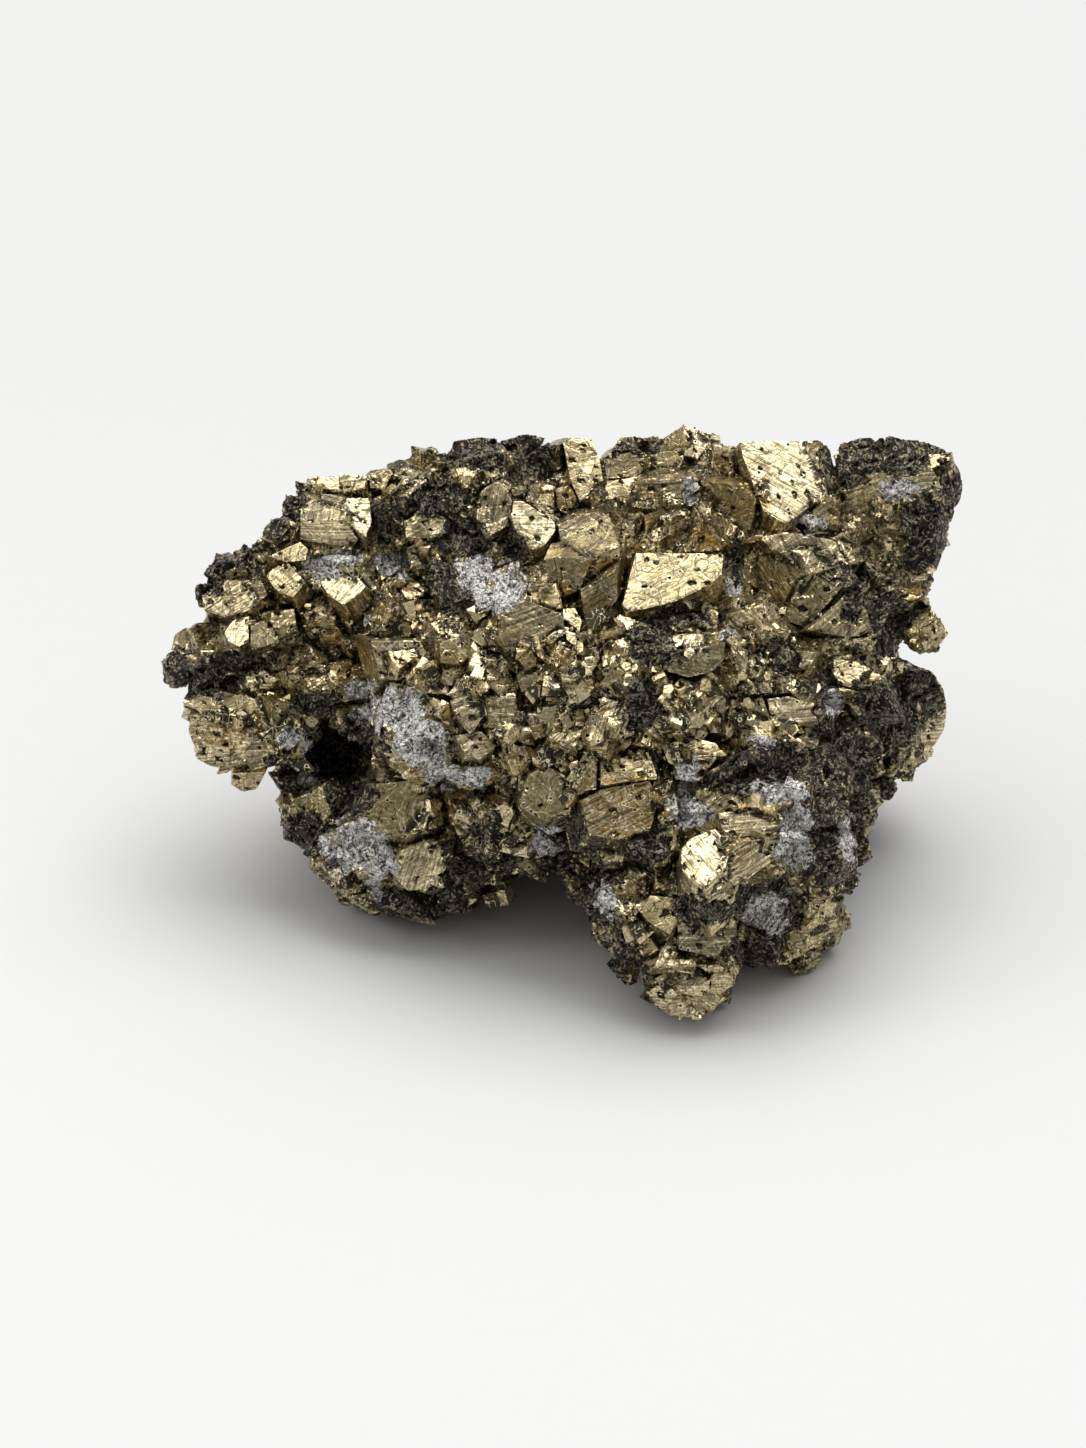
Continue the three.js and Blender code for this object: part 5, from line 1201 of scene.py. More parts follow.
class Crowd:
    """All crystals and lumps together, to tell what lies inside what."""

    def __init__(self, crystals: list[Crystal], lumps: Lumps) -> None:
        """Finds the neighbours of each crystal.

        Args:
            crystals: every crystal.
            lumps: the massif.
        """
        self.crystals = crystals
        self.lumps = lumps
        self.middles = np.array([crystal.middle for crystal in crystals])
        self.radii = np.array([crystal.radius() for crystal in crystals])

    def gap(self, points: Array, skip: int = -1) -> Array:
        """How far points are outside every crystal; less than 0 inside one.

        Args:
            points: places in millimetres, one a row.
            skip: the number of a crystal that isn't counted.

        Returns:
            The gap in millimetres for each point, at most 2.
        """
        low, high = points.min(0) - 2, points.max(0) + 2
        nearest = np.clip(self.middles, low, high)
        close = np.linalg.norm(self.middles - nearest, axis=1) < self.radii
        gaps = np.full(len(points), 2.0)
        for number in np.nonzero(close)[0]:
            if number == skip:
                continue
            off = np.linalg.norm(points - self.middles[number], axis=1)
            near = np.nonzero(off < self.radii[number] + 2)[0]
            if len(near):
                crystal = self.crystals[number]
                outside = (points[near] - crystal.middle) @ crystal.normals.T - crystal.depths
                gaps[near] = np.minimum(gaps[near], outside.max(1))
        return gaps

    def depth_in_lumps(self, points: Array) -> Array:
        """How far points are outside the lumps, roughly; less than 0 inside.

        Args:
            points: places in millimetres, one a row.

        Returns:
            The gap in millimetres for each point, at most 2.
        """
        gaps = np.full(len(points), 2.0)
        for centre, half in zip(self.lumps.centres, self.lumps.halves):
            outside = (np.linalg.norm((points - centre) / half, axis=1) - 1) * half.min()
            gaps = np.minimum(gaps, outside)
        return gaps


@dataclass
class Dressed:
    """A crystal's finished skin, with what its finish and the small crystals need to know."""

    skin: Skin
    grain: Array
    cover: Array
    gap: Array
    wear_and_painted_light: Array
    rough: Array


def settled(lumps: Lumps, points: Array, wear_and_painted_light: Array, cover: Array, lowest: float = 0.0
            ) -> tuple[Array, Array]:
    """Moves a worked surface back in the hollows and on to the ground, and paints shade into the hollows.

    Args:
        lumps: the massif.
        points: the worked surface in millimetres, one point a row.
        wear_and_painted_light: the painted light of each point; above 0 a painted highlight, below 0
            painted shade.
        cover: rows of dark, rust and white, which are changed in place; the hollows are made dark as
            painted shade.
        lowest: the least height in millimetres.

    Returns:
        The points in the part's own place, and their painted light, darkened in the hollows.
    """
    points, inside = lumps.hollowed(points)
    points = points + np.array(CENTRING)
    points[:, 2] = np.maximum(points[:, 2], lowest)
    # Painted shade: the hollows are coloured as dark matrix, without rust or white, and their painted
    # light is set dark.
    cover[:, 0] = np.maximum(cover[:, 0], inside)
    cover[:, 1:] *= 1 - inside[:, None]
    return points, np.minimum(wear_and_painted_light, 1 - 2.2 * inside)


class CrystalSkins:
    """The skins of all large crystals: split where they show, and worked like real faces."""

    def __init__(self, crowd: Crowd, finish: Finish = FINISH) -> None:
        """Keeps the crowd that tells what shows.

        Args:
            crowd: every crystal and lump.
            finish: how finely the skins are made.
        """
        self.crowd = crowd
        self.finish = finish

    def dress(self, number: int) -> Dressed | None:
        """Makes the skin of one crystal.

        Args:
            number: which crystal.

        Returns:
            The finished skin, or nothing where the crystal is all inside others.
        """
        crystal = self.crowd.crystals[number]
        points, triangles = hull_of(above_ground(crystal.corners))
        skin = Skin(points, triangles, self.plane_numbers(crystal, points, triangles))
        while skin.split(np.full(len(skin.triangles), self.finish.coarse)):
            pass
        gap = self.gap(skin.points, number)
        if (gap < -self.finish.buried).all():
            return None
        for _ in range(self.finish.rounds):
            if not skin.split(self.limits(crystal, skin, gap)):
                break
            gap = np.concatenate([gap, self.gap(skin.points[len(gap):], number)])
        return self.worked(crystal, skin, gap)

    def gap(self, points: Array, number: int) -> Array:
        """How far points are outside the other crystals and the lumps."""
        lumps = self.crowd.depth_in_lumps(points) + 0.6
        return np.minimum(self.crowd.gap(points, number), lumps)

    def plane_numbers(self, crystal: Crystal, points: Array, triangles: Array) -> Array:
        """Which of the crystal's planes each triangle of its hull lies in."""
        a, b, c = points[triangles].transpose(1, 0, 2)
        return np.argmax(unit(np.cross(b - a, c - a)) @ crystal.normals.T, axis=1)

    def limits(self, crystal: Crystal, skin: Skin, gap: Array) -> Array:
        """The longest edge that each triangle may have.

        Args:
            crystal: the crystal.
            skin: its skin so far.
            gap: how far each point is outside its surroundings.

        Returns:
            One limit for each triangle in millimetres.
        """
        hidden = (gap[skin.triangles] < -self.finish.buried).all(1)
        normals = crystal.normals[skin.planes]
        ahead = normals @ VIEW.towards()
        limit = np.where(ahead > 0, self.finish.front, self.finish.back)
        limit = np.where((ahead < 0) & (normals[:, 2] < -0.3), self.finish.under, limit)
        return np.where(hidden, self.finish.coarse, limit)

    def axes(self, crystal: Crystal) -> tuple[Array, Array]:
        """The directions along and across the striae of each plane.

        Args:
            crystal: the crystal.

        Returns:
            Two arrays with one row for each plane.
        """
        third = unit(crystal.outward)
        edge = crystal.corners[1] - crystal.corners[0]
        first = unit(edge - (edge @ third) * third)
        second = np.cross(third, first)
        own = np.stack([first, second, third])
        following = np.roll(own, -1, axis=0)
        nearest = np.argmax(np.abs(crystal.normals @ own.T), axis=1)
        along = following[nearest]
        along = unit(along - (along * crystal.normals).sum(1, keepdims=True) * crystal.normals)
        return along, np.cross(crystal.normals, along)

    def worked(self, crystal: Crystal, skin: Skin, gap: Array) -> Dressed:
        """Works the faces of a skin, gives it its cover and paints its light and shade.

        Args:
            crystal: the crystal.
            skin: its split skin.
            gap: how far each point is outside its surroundings.

        Returns:
            The finished skin.
        """
        use = self.finish
        local = skin.points - crystal.middle
        depth = crystal.depths - local @ crystal.normals.T
        along, across = self.axes(crystal)
        front = smooth_step(-0.35, 0.1, (crystal.normals @ VIEW.towards())[np.argmin(depth, axis=1)])
        cover = cover_of(skin.points, front)
        stony = np.clip(cover[:, 0] + cover[:, 2], 0, 1)
        rough = self.roughness(crystal)
        move = np.zeros_like(skin.points)
        pitted = np.zeros(len(skin.points))
        for n in range(len(crystal.normals)):
            near = np.nonzero(depth[:, n] < use.edge)[0]
            if len(near) == 0:
                continue
            s, t = local[near] @ along[n], local[near] @ across[n]
            height, pit = self.face_height(s, t, crystal.seed + 31.7 * n, rough)
            move[near] += ((height - pit) * (1 - stony[near]))[:, None] * crystal.normals[n]
            pitted[near] = np.maximum(pitted[near], pit)
        ordered = np.sort(depth, axis=1)
        edge = 1 - smooth_step(0.0, use.edge_width, ordered[:, 1])
        chipped = cloud(skin.points, use.chip_pitch, 3.0 + crystal.seed)
        chip = edge * smooth_step(0.45, 0.8, chipped)
        inwards = -unit(local)
        move += inwards * (use.wear_and_painted_light * (0.3 * edge + chip) * (0.4 + rough))[:, None]
        move += inwards * (self.crumple(skin.points, rough) * (1 - stony))[:, None]
        hollow, wall = stone_relief(skin.points, use.grain)
        move += inwards * (hollow * stony)[:, None]
        # Painted light: crystal edges are painted lighter as a highlight; pits and the crevices next to
        # other crystals and the lumps are painted darker as shade; on stone the relief's walls are painted
        # lighter and its hollows darker.
        wear_and_painted_light = 0.9 * edge - 1.6 * pitted / use.pit_depth - 0.9 * (1 - smooth_step(0.05, 0.55, gap))
        wear_and_painted_light += (0.7 * wall - wear_and_painted_light) * stony
        skin.points, wear_and_painted_light = settled(self.crowd.lumps, skin.points + move, wear_and_painted_light, cover)
        flat = local[skin.triangles] + 20.0 + 7.0 * fraction(crystal.seed + 1)
        grain = np.stack(
            [(flat * axis[skin.planes][:, None]).sum(2) for axis in (along, across)], axis=2
        )
        tint = np.full(len(gap), fraction(crystal.seed + 0.37))
        full = np.column_stack([cover, tint])
        return Dressed(skin, grain, full, gap, np.clip(wear_and_painted_light, -1, 1), np.full(len(gap), rough))

    def roughness(self, crystal: Crystal) -> float:
        """How uneven a crystal is, from 0 to 1: the ones with a known main face are smoother."""
        own = fraction(crystal.seed + 0.11)
        return min(1.0, crystal.rough + (0.08 + 0.5 * own**2 if crystal.main else 0.55 + 0.45 * own))

    def crumple(self, points: Array, rough: float) -> Array:
        """How deep the facets of a crumpled crystal lie, in millimetres."""
        _, _, offset, own = cells_in_space(points, self.finish.facet, 4.0)
        return rough**1.5 * ((offset * (own - 0.5)).sum(1) * self.finish.facet_lean + 0.5 * own[:, 0])

    def face_height(self, s: Array, t: Array, seed: float, rough: float) -> tuple[Array, Array]:
        """The height of a worked crystal face, 0 or below.

        Args:
            s: places along the striae in millimetres.
            t: places across the striae in millimetres.
            seed: picks the face's own pattern.
            rough: how uneven the whole crystal is.

        Returns:
            The height at each place in millimetres, and how deep the pits go there.
        """
        use = self.finish
        flat = np.stack([s / use.terrace_stretch, t, np.full_like(s, 0.5)], axis=1)
        levels = cloud(flat, use.terrace_pitch, seed) * use.terraces
        stairs = np.floor(levels) + smooth_step(0.75, 1.0, levels - np.floor(levels))
        height = -use.terrace * (0.1 + 0.9 * rough) * stairs / 2.5
        off_s, off_t, lift, lean, turn, _ = cells(s, t, use.block, seed + 5)
        height -= (0.15 + rough) * use.step * lift
        height += (0.1 + rough) * use.tilt * (off_s * (lean - 0.5) + off_t * (turn - 0.5))
        off_s, off_t, there, wide, deep, _ = cells(s, t, use.pit_pitch, seed + 17)
        size = 0.2 + 0.4 * wide * deep
        far = np.maximum(np.abs(off_s) * 0.8, np.abs(off_t)) + 0.3 * np.abs(off_s + off_t)
        pit = (1 - smooth_step(0.6, 1.0, far / size)) * (there > 0.5)
        return height, use.pit_depth * (0.5 + 0.5 * deep) * pit


def stone_relief(points: Array, depth: float) -> tuple[Array, Array]:
    """How deep the porous stone is worn: walls between small hollows.

    Args:
        points: places in millimetres, one a row.
        depth: the depth of the hollows in millimetres.

    Returns:
        The depth at each point in millimetres, and how much of a wall it is, from -1 to 1.
    """
    first, second, _, own = cells_in_space(points + 0.9 * cloud(points, 1.1, 51.0)[:, None], 1.15, 6.0)
    hollow = smooth_step(0.05, 0.45, second - first) * smooth_step(0.3, 0.9, own[:, 0])
    swell = cloud(points, 2.6, 53.0) + 0.5 * cloud(points, 0.8, 57.0)
    return depth * (2.2 * hollow + 1.4 * swell - 0.7), 0.6 - 1.3 * smooth_step(0.05, 0.5, hollow)


def new_mesh(name: str, points: Array, triangles: Array) -> bpy.types.Object:
    """An object at the origin with a mesh of triangles.

    Args:
        name: the piece's name.
        points: places in millimetres, one a row.
        triangles: rows of three point numbers.

    Returns:
        The object, linked to the scene.
    """
    mesh = bpy.data.meshes.new(name)
    mesh.vertices.add(len(points))
    mesh.vertices.foreach_set("co", (points * MM).astype(np.float32).ravel())
    mesh.loops.add(triangles.size)
    mesh.loops.foreach_set("vertex_index", triangles.astype(np.int32).ravel())
    mesh.polygons.add(len(triangles))
    mesh.polygons.foreach_set("loop_start", np.arange(0, triangles.size, 3, dtype=np.int32))
    mesh.update(calc_edges=True)
    piece = bpy.data.objects.new(name, mesh)
    bpy.context.scene.collection.objects.link(piece)
    return piece


def give_point_values(piece: bpy.types.Object, name: str, values: Array) -> None:
    """Stores one number for each point of a piece."""
    layer = piece.data.attributes.new(name, "FLOAT", "POINT")
    layer.data.foreach_set("value", values.astype(np.float32))


def give_cover(piece: bpy.types.Object, cover: Array) -> None:
    """Stores the dark, rust, white and tint of each point of a piece."""
    layer = piece.data.attributes.new("cover", "FLOAT_COLOR", "POINT")
    layer.data.foreach_set("color", cover.astype(np.float32).ravel())


def rows_of(items: bpy.types.bpy_prop_collection, name: str, kind: type) -> Array:
    """Reads three numbers of each item of a mesh.

    Args:
        items: the mesh's vertices, triangles or normals.
        name: what is read of each item.
        kind: the type of the numbers.

    Returns:
        One item a row.
    """
    rows = np.zeros(len(items) * 3, kind)
    items.foreach_get(name, rows)
    return rows.reshape(-1, 3)


def read_mesh(mesh: bpy.types.Mesh) -> tuple[Array, Array, Array]:
    """Reads a mesh.

    Args:
        mesh: the mesh.

    Returns:
        Its points in millimetres, its triangles and its point normals.
    """
    mesh.calc_loop_triangles()
    points = rows_of(mesh.vertices, "co", np.float32)
    triangles = rows_of(mesh.loop_triangles, "vertices", np.int32)
    return points / MM, triangles, rows_of(mesh.vertex_normals, "vector", np.float32)


def remove_piece(piece: bpy.types.Object) -> None:
    """Removes an object that was only needed on the way, and its mesh."""
    bpy.data.meshes.remove(piece.data)


def applied(piece: bpy.types.Object, name: str) -> bpy.types.Object:
    """A plain copy of a piece with its modifiers applied.

    Args:
        piece: the piece with its modifiers; it is removed.
        name: the copy's name.

    Returns:
        The copy, linked to the scene.
    """
    graph = bpy.context.evaluated_depsgraph_get()
    mesh = bpy.data.meshes.new_from_object(piece.evaluated_get(graph))
    remove_piece(piece)
    made = bpy.data.objects.new(name, mesh)
    mesh.name = name
    bpy.context.scene.collection.objects.link(made)
    return made


@dataclass
class Massif:
    """The dark rock under the crystals; sizes in millimetres."""

    name: str = "rock_massif"
    share: float = 0.965
    voxel: float = 0.42
    swell: float = 0.4
    facet: float = 2.4
    lean: float = 1.1
    stone_depth: float = 0.5
    darkness: float = 0.38
    lowest: float = 0.02

    def joined_lumps(self) -> tuple[Array, Array, Array]:
        """Makes the lumps one skin.

        Returns:
            Its points in millimetres, its triangles and its point normals.
        """
        made = bmesh.new()
        for centre, half in LUMPS:
            place = Matrix.LocRotScale(Vector(centre) * MM, None, Vector(half) * MM * self.share)
            bmesh.ops.create_icosphere(made, subdivisions=4, radius=1.0, matrix=place)
        mesh = bpy.data.meshes.new(self.name)
        made.to_mesh(mesh)
        made.free()
        lumps = bpy.data.objects.new(self.name, mesh)
        bpy.context.scene.collection.objects.link(lumps)
        remesh = lumps.modifiers.new("joined", "REMESH")
        remesh.mode = "VOXEL"
        remesh.voxel_size = self.voxel * MM
        piece = applied(lumps, self.name)
        numbers = read_mesh(piece.data)
        remove_piece(piece)
        return numbers

    def build(self, crowd: Crowd) -> Dressed:
        """Joins the lumps and gives them a rocky relief.

        Args:
            crowd: every crystal and lump.

        Returns:
            The massif's skin and cover.
        """
        points, triangles, normals = self.joined_lumps()
        front = smooth_step(-0.3, 0.1, normals @ VIEW.towards())
        cover = cover_of(points, front)
        cover[:, 0] = np.maximum(cover[:, 0], self.darkness) * (1 - cover[:, 2])
        _, _, offset, own = cells_in_space(points, self.facet, 4.0)
        height = (offset * (own - 0.5)).sum(1) * self.lean - 0.8 * own[:, 0] + self.swell
        stony = smooth_step(0.4, 0.9, cover[:, 0] + cover[:, 2])
        hollow, wall = stone_relief(points, self.stone_depth)
        height = height * (1 - 0.5 * stony) - hollow * stony
        gap = crowd.gap(points)
        # Painted light: the stone walls are painted lighter, and the hollows and the rock next to the
        # crystals darker, as shade.
        wear_and_painted_light = 0.7 * wall * stony - 0.6 * (1 - smooth_step(0.0, 0.6, gap))
        moved = points + normals * height[:, None]
        points, wear_and_painted_light = settled(crowd.lumps, moved, wear_and_painted_light, cover, self.lowest)
        skin = Skin(points, triangles, np.zeros(len(triangles), dtype=int))
        full = np.column_stack([cover, own[:, 1]])
        return Dressed(skin, np.zeros((0, 3, 2)), full, gap, wear_and_painted_light, np.ones(len(gap)))


class GrowthKind(Enum):
    """What the Geometry Nodes let grow on the specimen."""

    PYRITE = "small_pyrite"
    GLINT = "dark_grains"
    QUARTZ = "quartz_druse"


@dataclass(frozen=True)
class Growth:
    """One kind of small growth: how many for each square millimetre, and its sizes."""

    kind: GrowthKind
    density: float
    smallest: float
    largest: float
    seed: int
    tip: float
    sink: float = 0.25
    skew: float = 2.2


GROWTHS: tuple[Growth, ...] = (
    Growth(GrowthKind.PYRITE, 1.35, 0.5, 2.3, 11, 0.9),
    Growth(GrowthKind.GLINT, 0.4, 0.25, 0.6, 23, 1.0),
    Growth(GrowthKind.QUARTZ, 7.0, 0.15, 0.5, 37, 0.9),
)


def joined(parts: list[Dressed]) -> tuple[Array, Array]:
    """Puts several skins together.

    Args:
        parts: the dressed skins.

    Returns:
        All points, and all triangles with their point numbers moved up.
    """
    starts = np.cumsum([0] + [len(part.gap) for part in parts[:-1]])
    triangles = np.vstack([part.skin.triangles + start for part, start in zip(parts, starts)])
    return np.vstack([part.skin.points for part in parts]), triangles


class Bed:
    """The open surface that the small growths stand on."""

    def __init__(self, parts: list[Dressed]) -> None:
        """Joins the open triangles of all skins, with a density for each kind.

        Args:
            parts: the dressed skins.
        """
        points, triangles = joined(parts)
        gap, rough = (np.concatenate([getattr(p, name) for p in parts]) for name in ("gap", "rough"))
        shown = (gap[triangles] > -0.05).all(1)
        self.piece = new_mesh("bed", points, triangles[shown])
        cover = np.vstack([part.cover for part in parts])
        give_cover(self.piece, cover)
        clear = smooth_step(0.3, 1.5, points[:, 2])
        near = 1 - smooth_step(0.05, 0.4, gap)
        low_down = 1 - 0.75 * smooth_step(2.0, 10.0, VIEW.place(points)[1])
        massif = np.concatenate([np.full(len(p.gap), float(len(p.grain) == 0)) for p in parts])
        dark, _, white, _ = cover.T
        patchy = smooth_step(0.35, 0.7, cloud(points, 4.0, 88.0))
        uneven = smooth_step(0.5, 0.6, rough)
        rubble = patch_mask(points, RUBBLE_PATCHES, 29.0) * np.maximum(massif, uneven)
        pyrite = np.maximum(0.7 * near, 0.55 * massif) * (0.3 + 0.7 * patchy) * low_down
        pyrite = pyrite * (1 - 0.93 * smooth_step(0.45, 0.8, dark))
        pyrite = np.maximum(pyrite, 0.75 * rubble * (1 - 0.6 * dark)) * (1 - white)
        glint = np.clip(0.1 * near + dark, 0, 1) * (1 - 0.5 * white)
        crusty = smooth_step(0.35, 0.6, cloud(points, 0.9, 95.0))
        quartz = smooth_step(0.35, 0.8, white) * (0.15 + 0.85 * crusty)
        for kind, values in zip(GrowthKind, (pyrite, glint, quartz)):
            give_point_values(self.piece, kind.value, values * clear)

    def remove(self) -> None:
        """Removes the bed once everything has grown."""
        remove_piece(self.piece)


Socket = bpy.types.NodeSocket


class NodeTree:
    """A node tree with a short way to add and join nodes."""

    def __init__(self, tree: bpy.types.NodeTree) -> None:
        """Keeps the tree."""
        self.tree = tree

    def add(self, kind: str, values: dict[int | str, object] | None = None, **settings: object
            ) -> bpy.types.Node:
        """Adds a node.

        Args:
            kind: the node's type.
            values: what each input is linked or set to, by its name or number.
            settings: the node's properties.

        Returns:
            The node.
        """
        node = self.tree.nodes.new(kind)
        for name, value in settings.items():
            setattr(node, name, value)
        for name, value in (values or {}).items():
            self.feed(node.inputs[name], value)
        return node

    def feed(self, socket: Socket, value: object) -> None:
        """Links a socket to another one, or sets it to a number, a colour or a thing."""
        if isinstance(value, Socket):
            self.tree.links.new(value, socket)
        elif isinstance(value, tuple) and len(value) == 3 and socket.type == "RGBA":
            socket.default_value = (*value, 1.0)
        else:
            socket.default_value = value


class GrowthNodes(NodeTree):
    """Geometry Nodes that let one kind of small crystal grow on the bed."""

    def __init__(self, growth: Growth, templates: list[bpy.types.Object], dress: object) -> None:
        """Builds the tree.

        Args:
            growth: what grows, how densely and in which sizes.
            templates: the shapes that are repeated.
            dress: the material of the finished crystals.
        """
        super().__init__(bpy.data.node_groups.new(growth.kind.value, "GeometryNodeTree"))
        self.growth = growth
        face = self.tree.interface
        face.new_socket("Geometry", in_out="OUTPUT", socket_type="NodeSocketGeometry")
        face.new_socket("Geometry", in_out="INPUT", socket_type="NodeSocketGeometry")
        for name in ("Density", "Smallest", "Largest"):
            face.new_socket(name, in_out="INPUT", socket_type="NodeSocketFloat")
        face.new_socket("Seed", in_out="INPUT", socket_type="NodeSocketInt")
        self.wire(templates, dress)

    def wire(self, templates: list[bpy.types.Object], dress: object) -> None:
        """Adds the nodes, from the points on the faces to the finished mesh.

        Args:
            templates: the shapes that are repeated.
            dress: the material.
        """
        growth, given = self.growth, self.add("NodeGroupInput").outputs
        seed = {"Seed": given["Seed"]}
        named = {"Name": growth.kind.value}
        weight = self.add("GeometryNodeInputNamedAttribute", named, data_type="FLOAT")
        factors = {0: given["Density"], 1: weight.outputs["Attribute"]}
        density = self.add("ShaderNodeMath", factors, operation="MULTIPLY").outputs[0]
        bed = {"Mesh": given["Geometry"], "Density": density, **seed}
        spread = self.add(
            "GeometryNodeDistributePointsOnFaces", bed, distribute_method="RANDOM"
        ).outputs
        shapes = self.add("GeometryNodeJoinGeometry")
        for template in reversed(templates):
            shape = self.add("GeometryNodeObjectInfo", {"Object": template, "As Instance": True})
            self.feed(shapes.inputs["Geometry"], shape.outputs["Geometry"])
        count = {4: 0, 5: len(templates) - 1, **seed}
        choice = self.add("FunctionNodeRandomValue", count, data_type="INT").outputs[2]
        most = (growth.tip, growth.tip, math.pi)
        angles = {0: tuple(-angle for angle in most), 1: most, **seed}
        lean = self.add("FunctionNodeRandomValue", angles, data_type="FLOAT_VECTOR").outputs[0]
        both = {0: spread["Rotation"], 1: lean}
        turn = self.add("FunctionNodeRotateRotation", both, rotation_space="LOCAL").outputs[0]
        even = self.add("FunctionNodeRandomValue", seed, data_type="FLOAT").outputs[1]
        skewed = self.add("ShaderNodeMath", {0: even, 1: growth.skew}, operation="POWER").outputs[0]
        sizes = {0: skewed, 3: given["Smallest"], 4: given["Largest"]}
        size = self.add("ShaderNodeMapRange", sizes).outputs[0]
        inward = self.add("ShaderNodeMath", {0: size, 1: -growth.sink}, operation="MULTIPLY")
        down = {0: spread["Normal"], "Scale": inward.outputs[0]}
        sink = self.add("ShaderNodeVectorMath", down, operation="SCALE").outputs[0]
        place = {"Geometry": spread["Points"], "Offset": sink}
        grow = self.add("GeometryNodeInstanceOnPoints", {
            "Points": self.add("GeometryNodeSetPosition", place).outputs[0],
            "Instance": shapes.outputs[0],
            "Pick Instance": True,
            "Instance Index": choice,
            "Rotation": turn,
            "Scale": size,
        })
        own = self.add("FunctionNodeRandomValue", {"Seed": growth.seed + 5}, data_type="FLOAT")
        tint = {"Geometry": grow.outputs[0], "Name": "own_tint", "Value": own.outputs[1]}
        store = self.add(
            "GeometryNodeStoreNamedAttribute", tint, data_type="FLOAT", domain="INSTANCE"
        )
        realized = self.add("GeometryNodeRealizeInstances", {"Geometry": store.outputs[0]})
        finished = {"Geometry": realized.outputs[0], "Material": dress}
        dressed = self.add("GeometryNodeSetMaterial", finished).outputs[0]
        self.add("NodeGroupOutput", {0: dressed})

    def grow_on(self, bed: Bed) -> bpy.types.Object:
        """Runs the tree on a copy of the bed.

        Args:
            bed: the open surface.

        Returns:
            The small crystals as one plain mesh.
        """
        copy = bed.piece.copy()
        copy.data = bed.piece.data.copy()
        bpy.context.scene.collection.objects.link(copy)
        modifier = copy.modifiers.new("growth", "NODES")
        modifier.node_group = self.tree
        values = {
            "Density": self.growth.density / MM**2,
            "Smallest": self.growth.smallest * MM,
            "Largest": self.growth.largest * MM,
            "Seed": self.growth.seed,
        }
        for item in self.tree.interface.items_tree:
            if item.in_out == "INPUT" and item.name in values:
                modifier[item.identifier] = values[item.name]
        made = applied(copy, self.growth.kind.value)
        points = read_mesh(made.data)[0]
        points[:, 2] = np.maximum(points[:, 2], 0.0)
        made.data.vertices.foreach_set("co", (points * MM).ravel())
        return made


class Templates:
    """The shapes that the small growths repeat, one millimetre long each way."""

    def pyrite(self) -> list[bpy.types.Object]:
        """The small pyrite crystals: regular habits and crooked ones.

        Returns:
            One object for each shape, about one unit wide.
        """
        habits = (Habit.BEVELLED, Habit.PYRITOHEDRON)
        made = [self.shape(habit.value, HABIT_CORNERS[habit] / 2.2) for habit in habits]
        for number in range(5):
            corners = HABIT_CORNERS[(Habit.CUBE, Habit.BEVELLED)[number % 2]]
            keys = np.arange(float(corners.size)).reshape(corners.shape) + 40.0 * number
            wide = 0.65 + 0.6 * fractions(np.arange(3.0) + 9.1 * number)
            crooked = corners * wide + 0.45 * (fractions(keys) - 0.5)
            made.append(self.shape(f"crooked_{number}", crooked / 2.2))
        return made

    def quartz(self) -> list[bpy.types.Object]:
        """Stubby six-sided quartz points.

        Returns:
            Three objects of different slenderness, one unit long.
        """
        made: list[bpy.types.Object] = []
        for number, (radius, shoulder) in enumerate(((0.24, 0.25), (0.34, 0.1), (0.45, 0.2))):
            corners = [(0.0, 0.0, 0.62)]
            for k in range(6):
                angle = math.radians(60 * k + 7 * number)
                wide = radius * (0.8 + 0.35 * fraction(k + 10 * number))
                x, y = wide * math.cos(angle), wide * math.sin(angle)
                corners += [(x, y, shoulder), (x * 0.8, y * 0.8, -0.35)]
            made.append(self.shape(f"quartz_point_{number}", np.array(corners)))
        return made

    def shape(self, name: str, corners: Array) -> bpy.types.Object:
        """A template made from its corners.

        Args:
            name: the template's name.
            corners: one corner a row.

        Returns:
            The object.
        """
        points, triangles = hull_of(corners)
        made = new_mesh(f"template_{name}", points / MM, triangles)
        made.data.shade_flat()
        # Painted light: each small crystal is painted lighter towards its tip and darker towards its base,
        # where shade would fall in the bed.
        give_point_values(made, "wear_and_painted_light", 3.2 * points[:, 2] - 1.2)
        return made


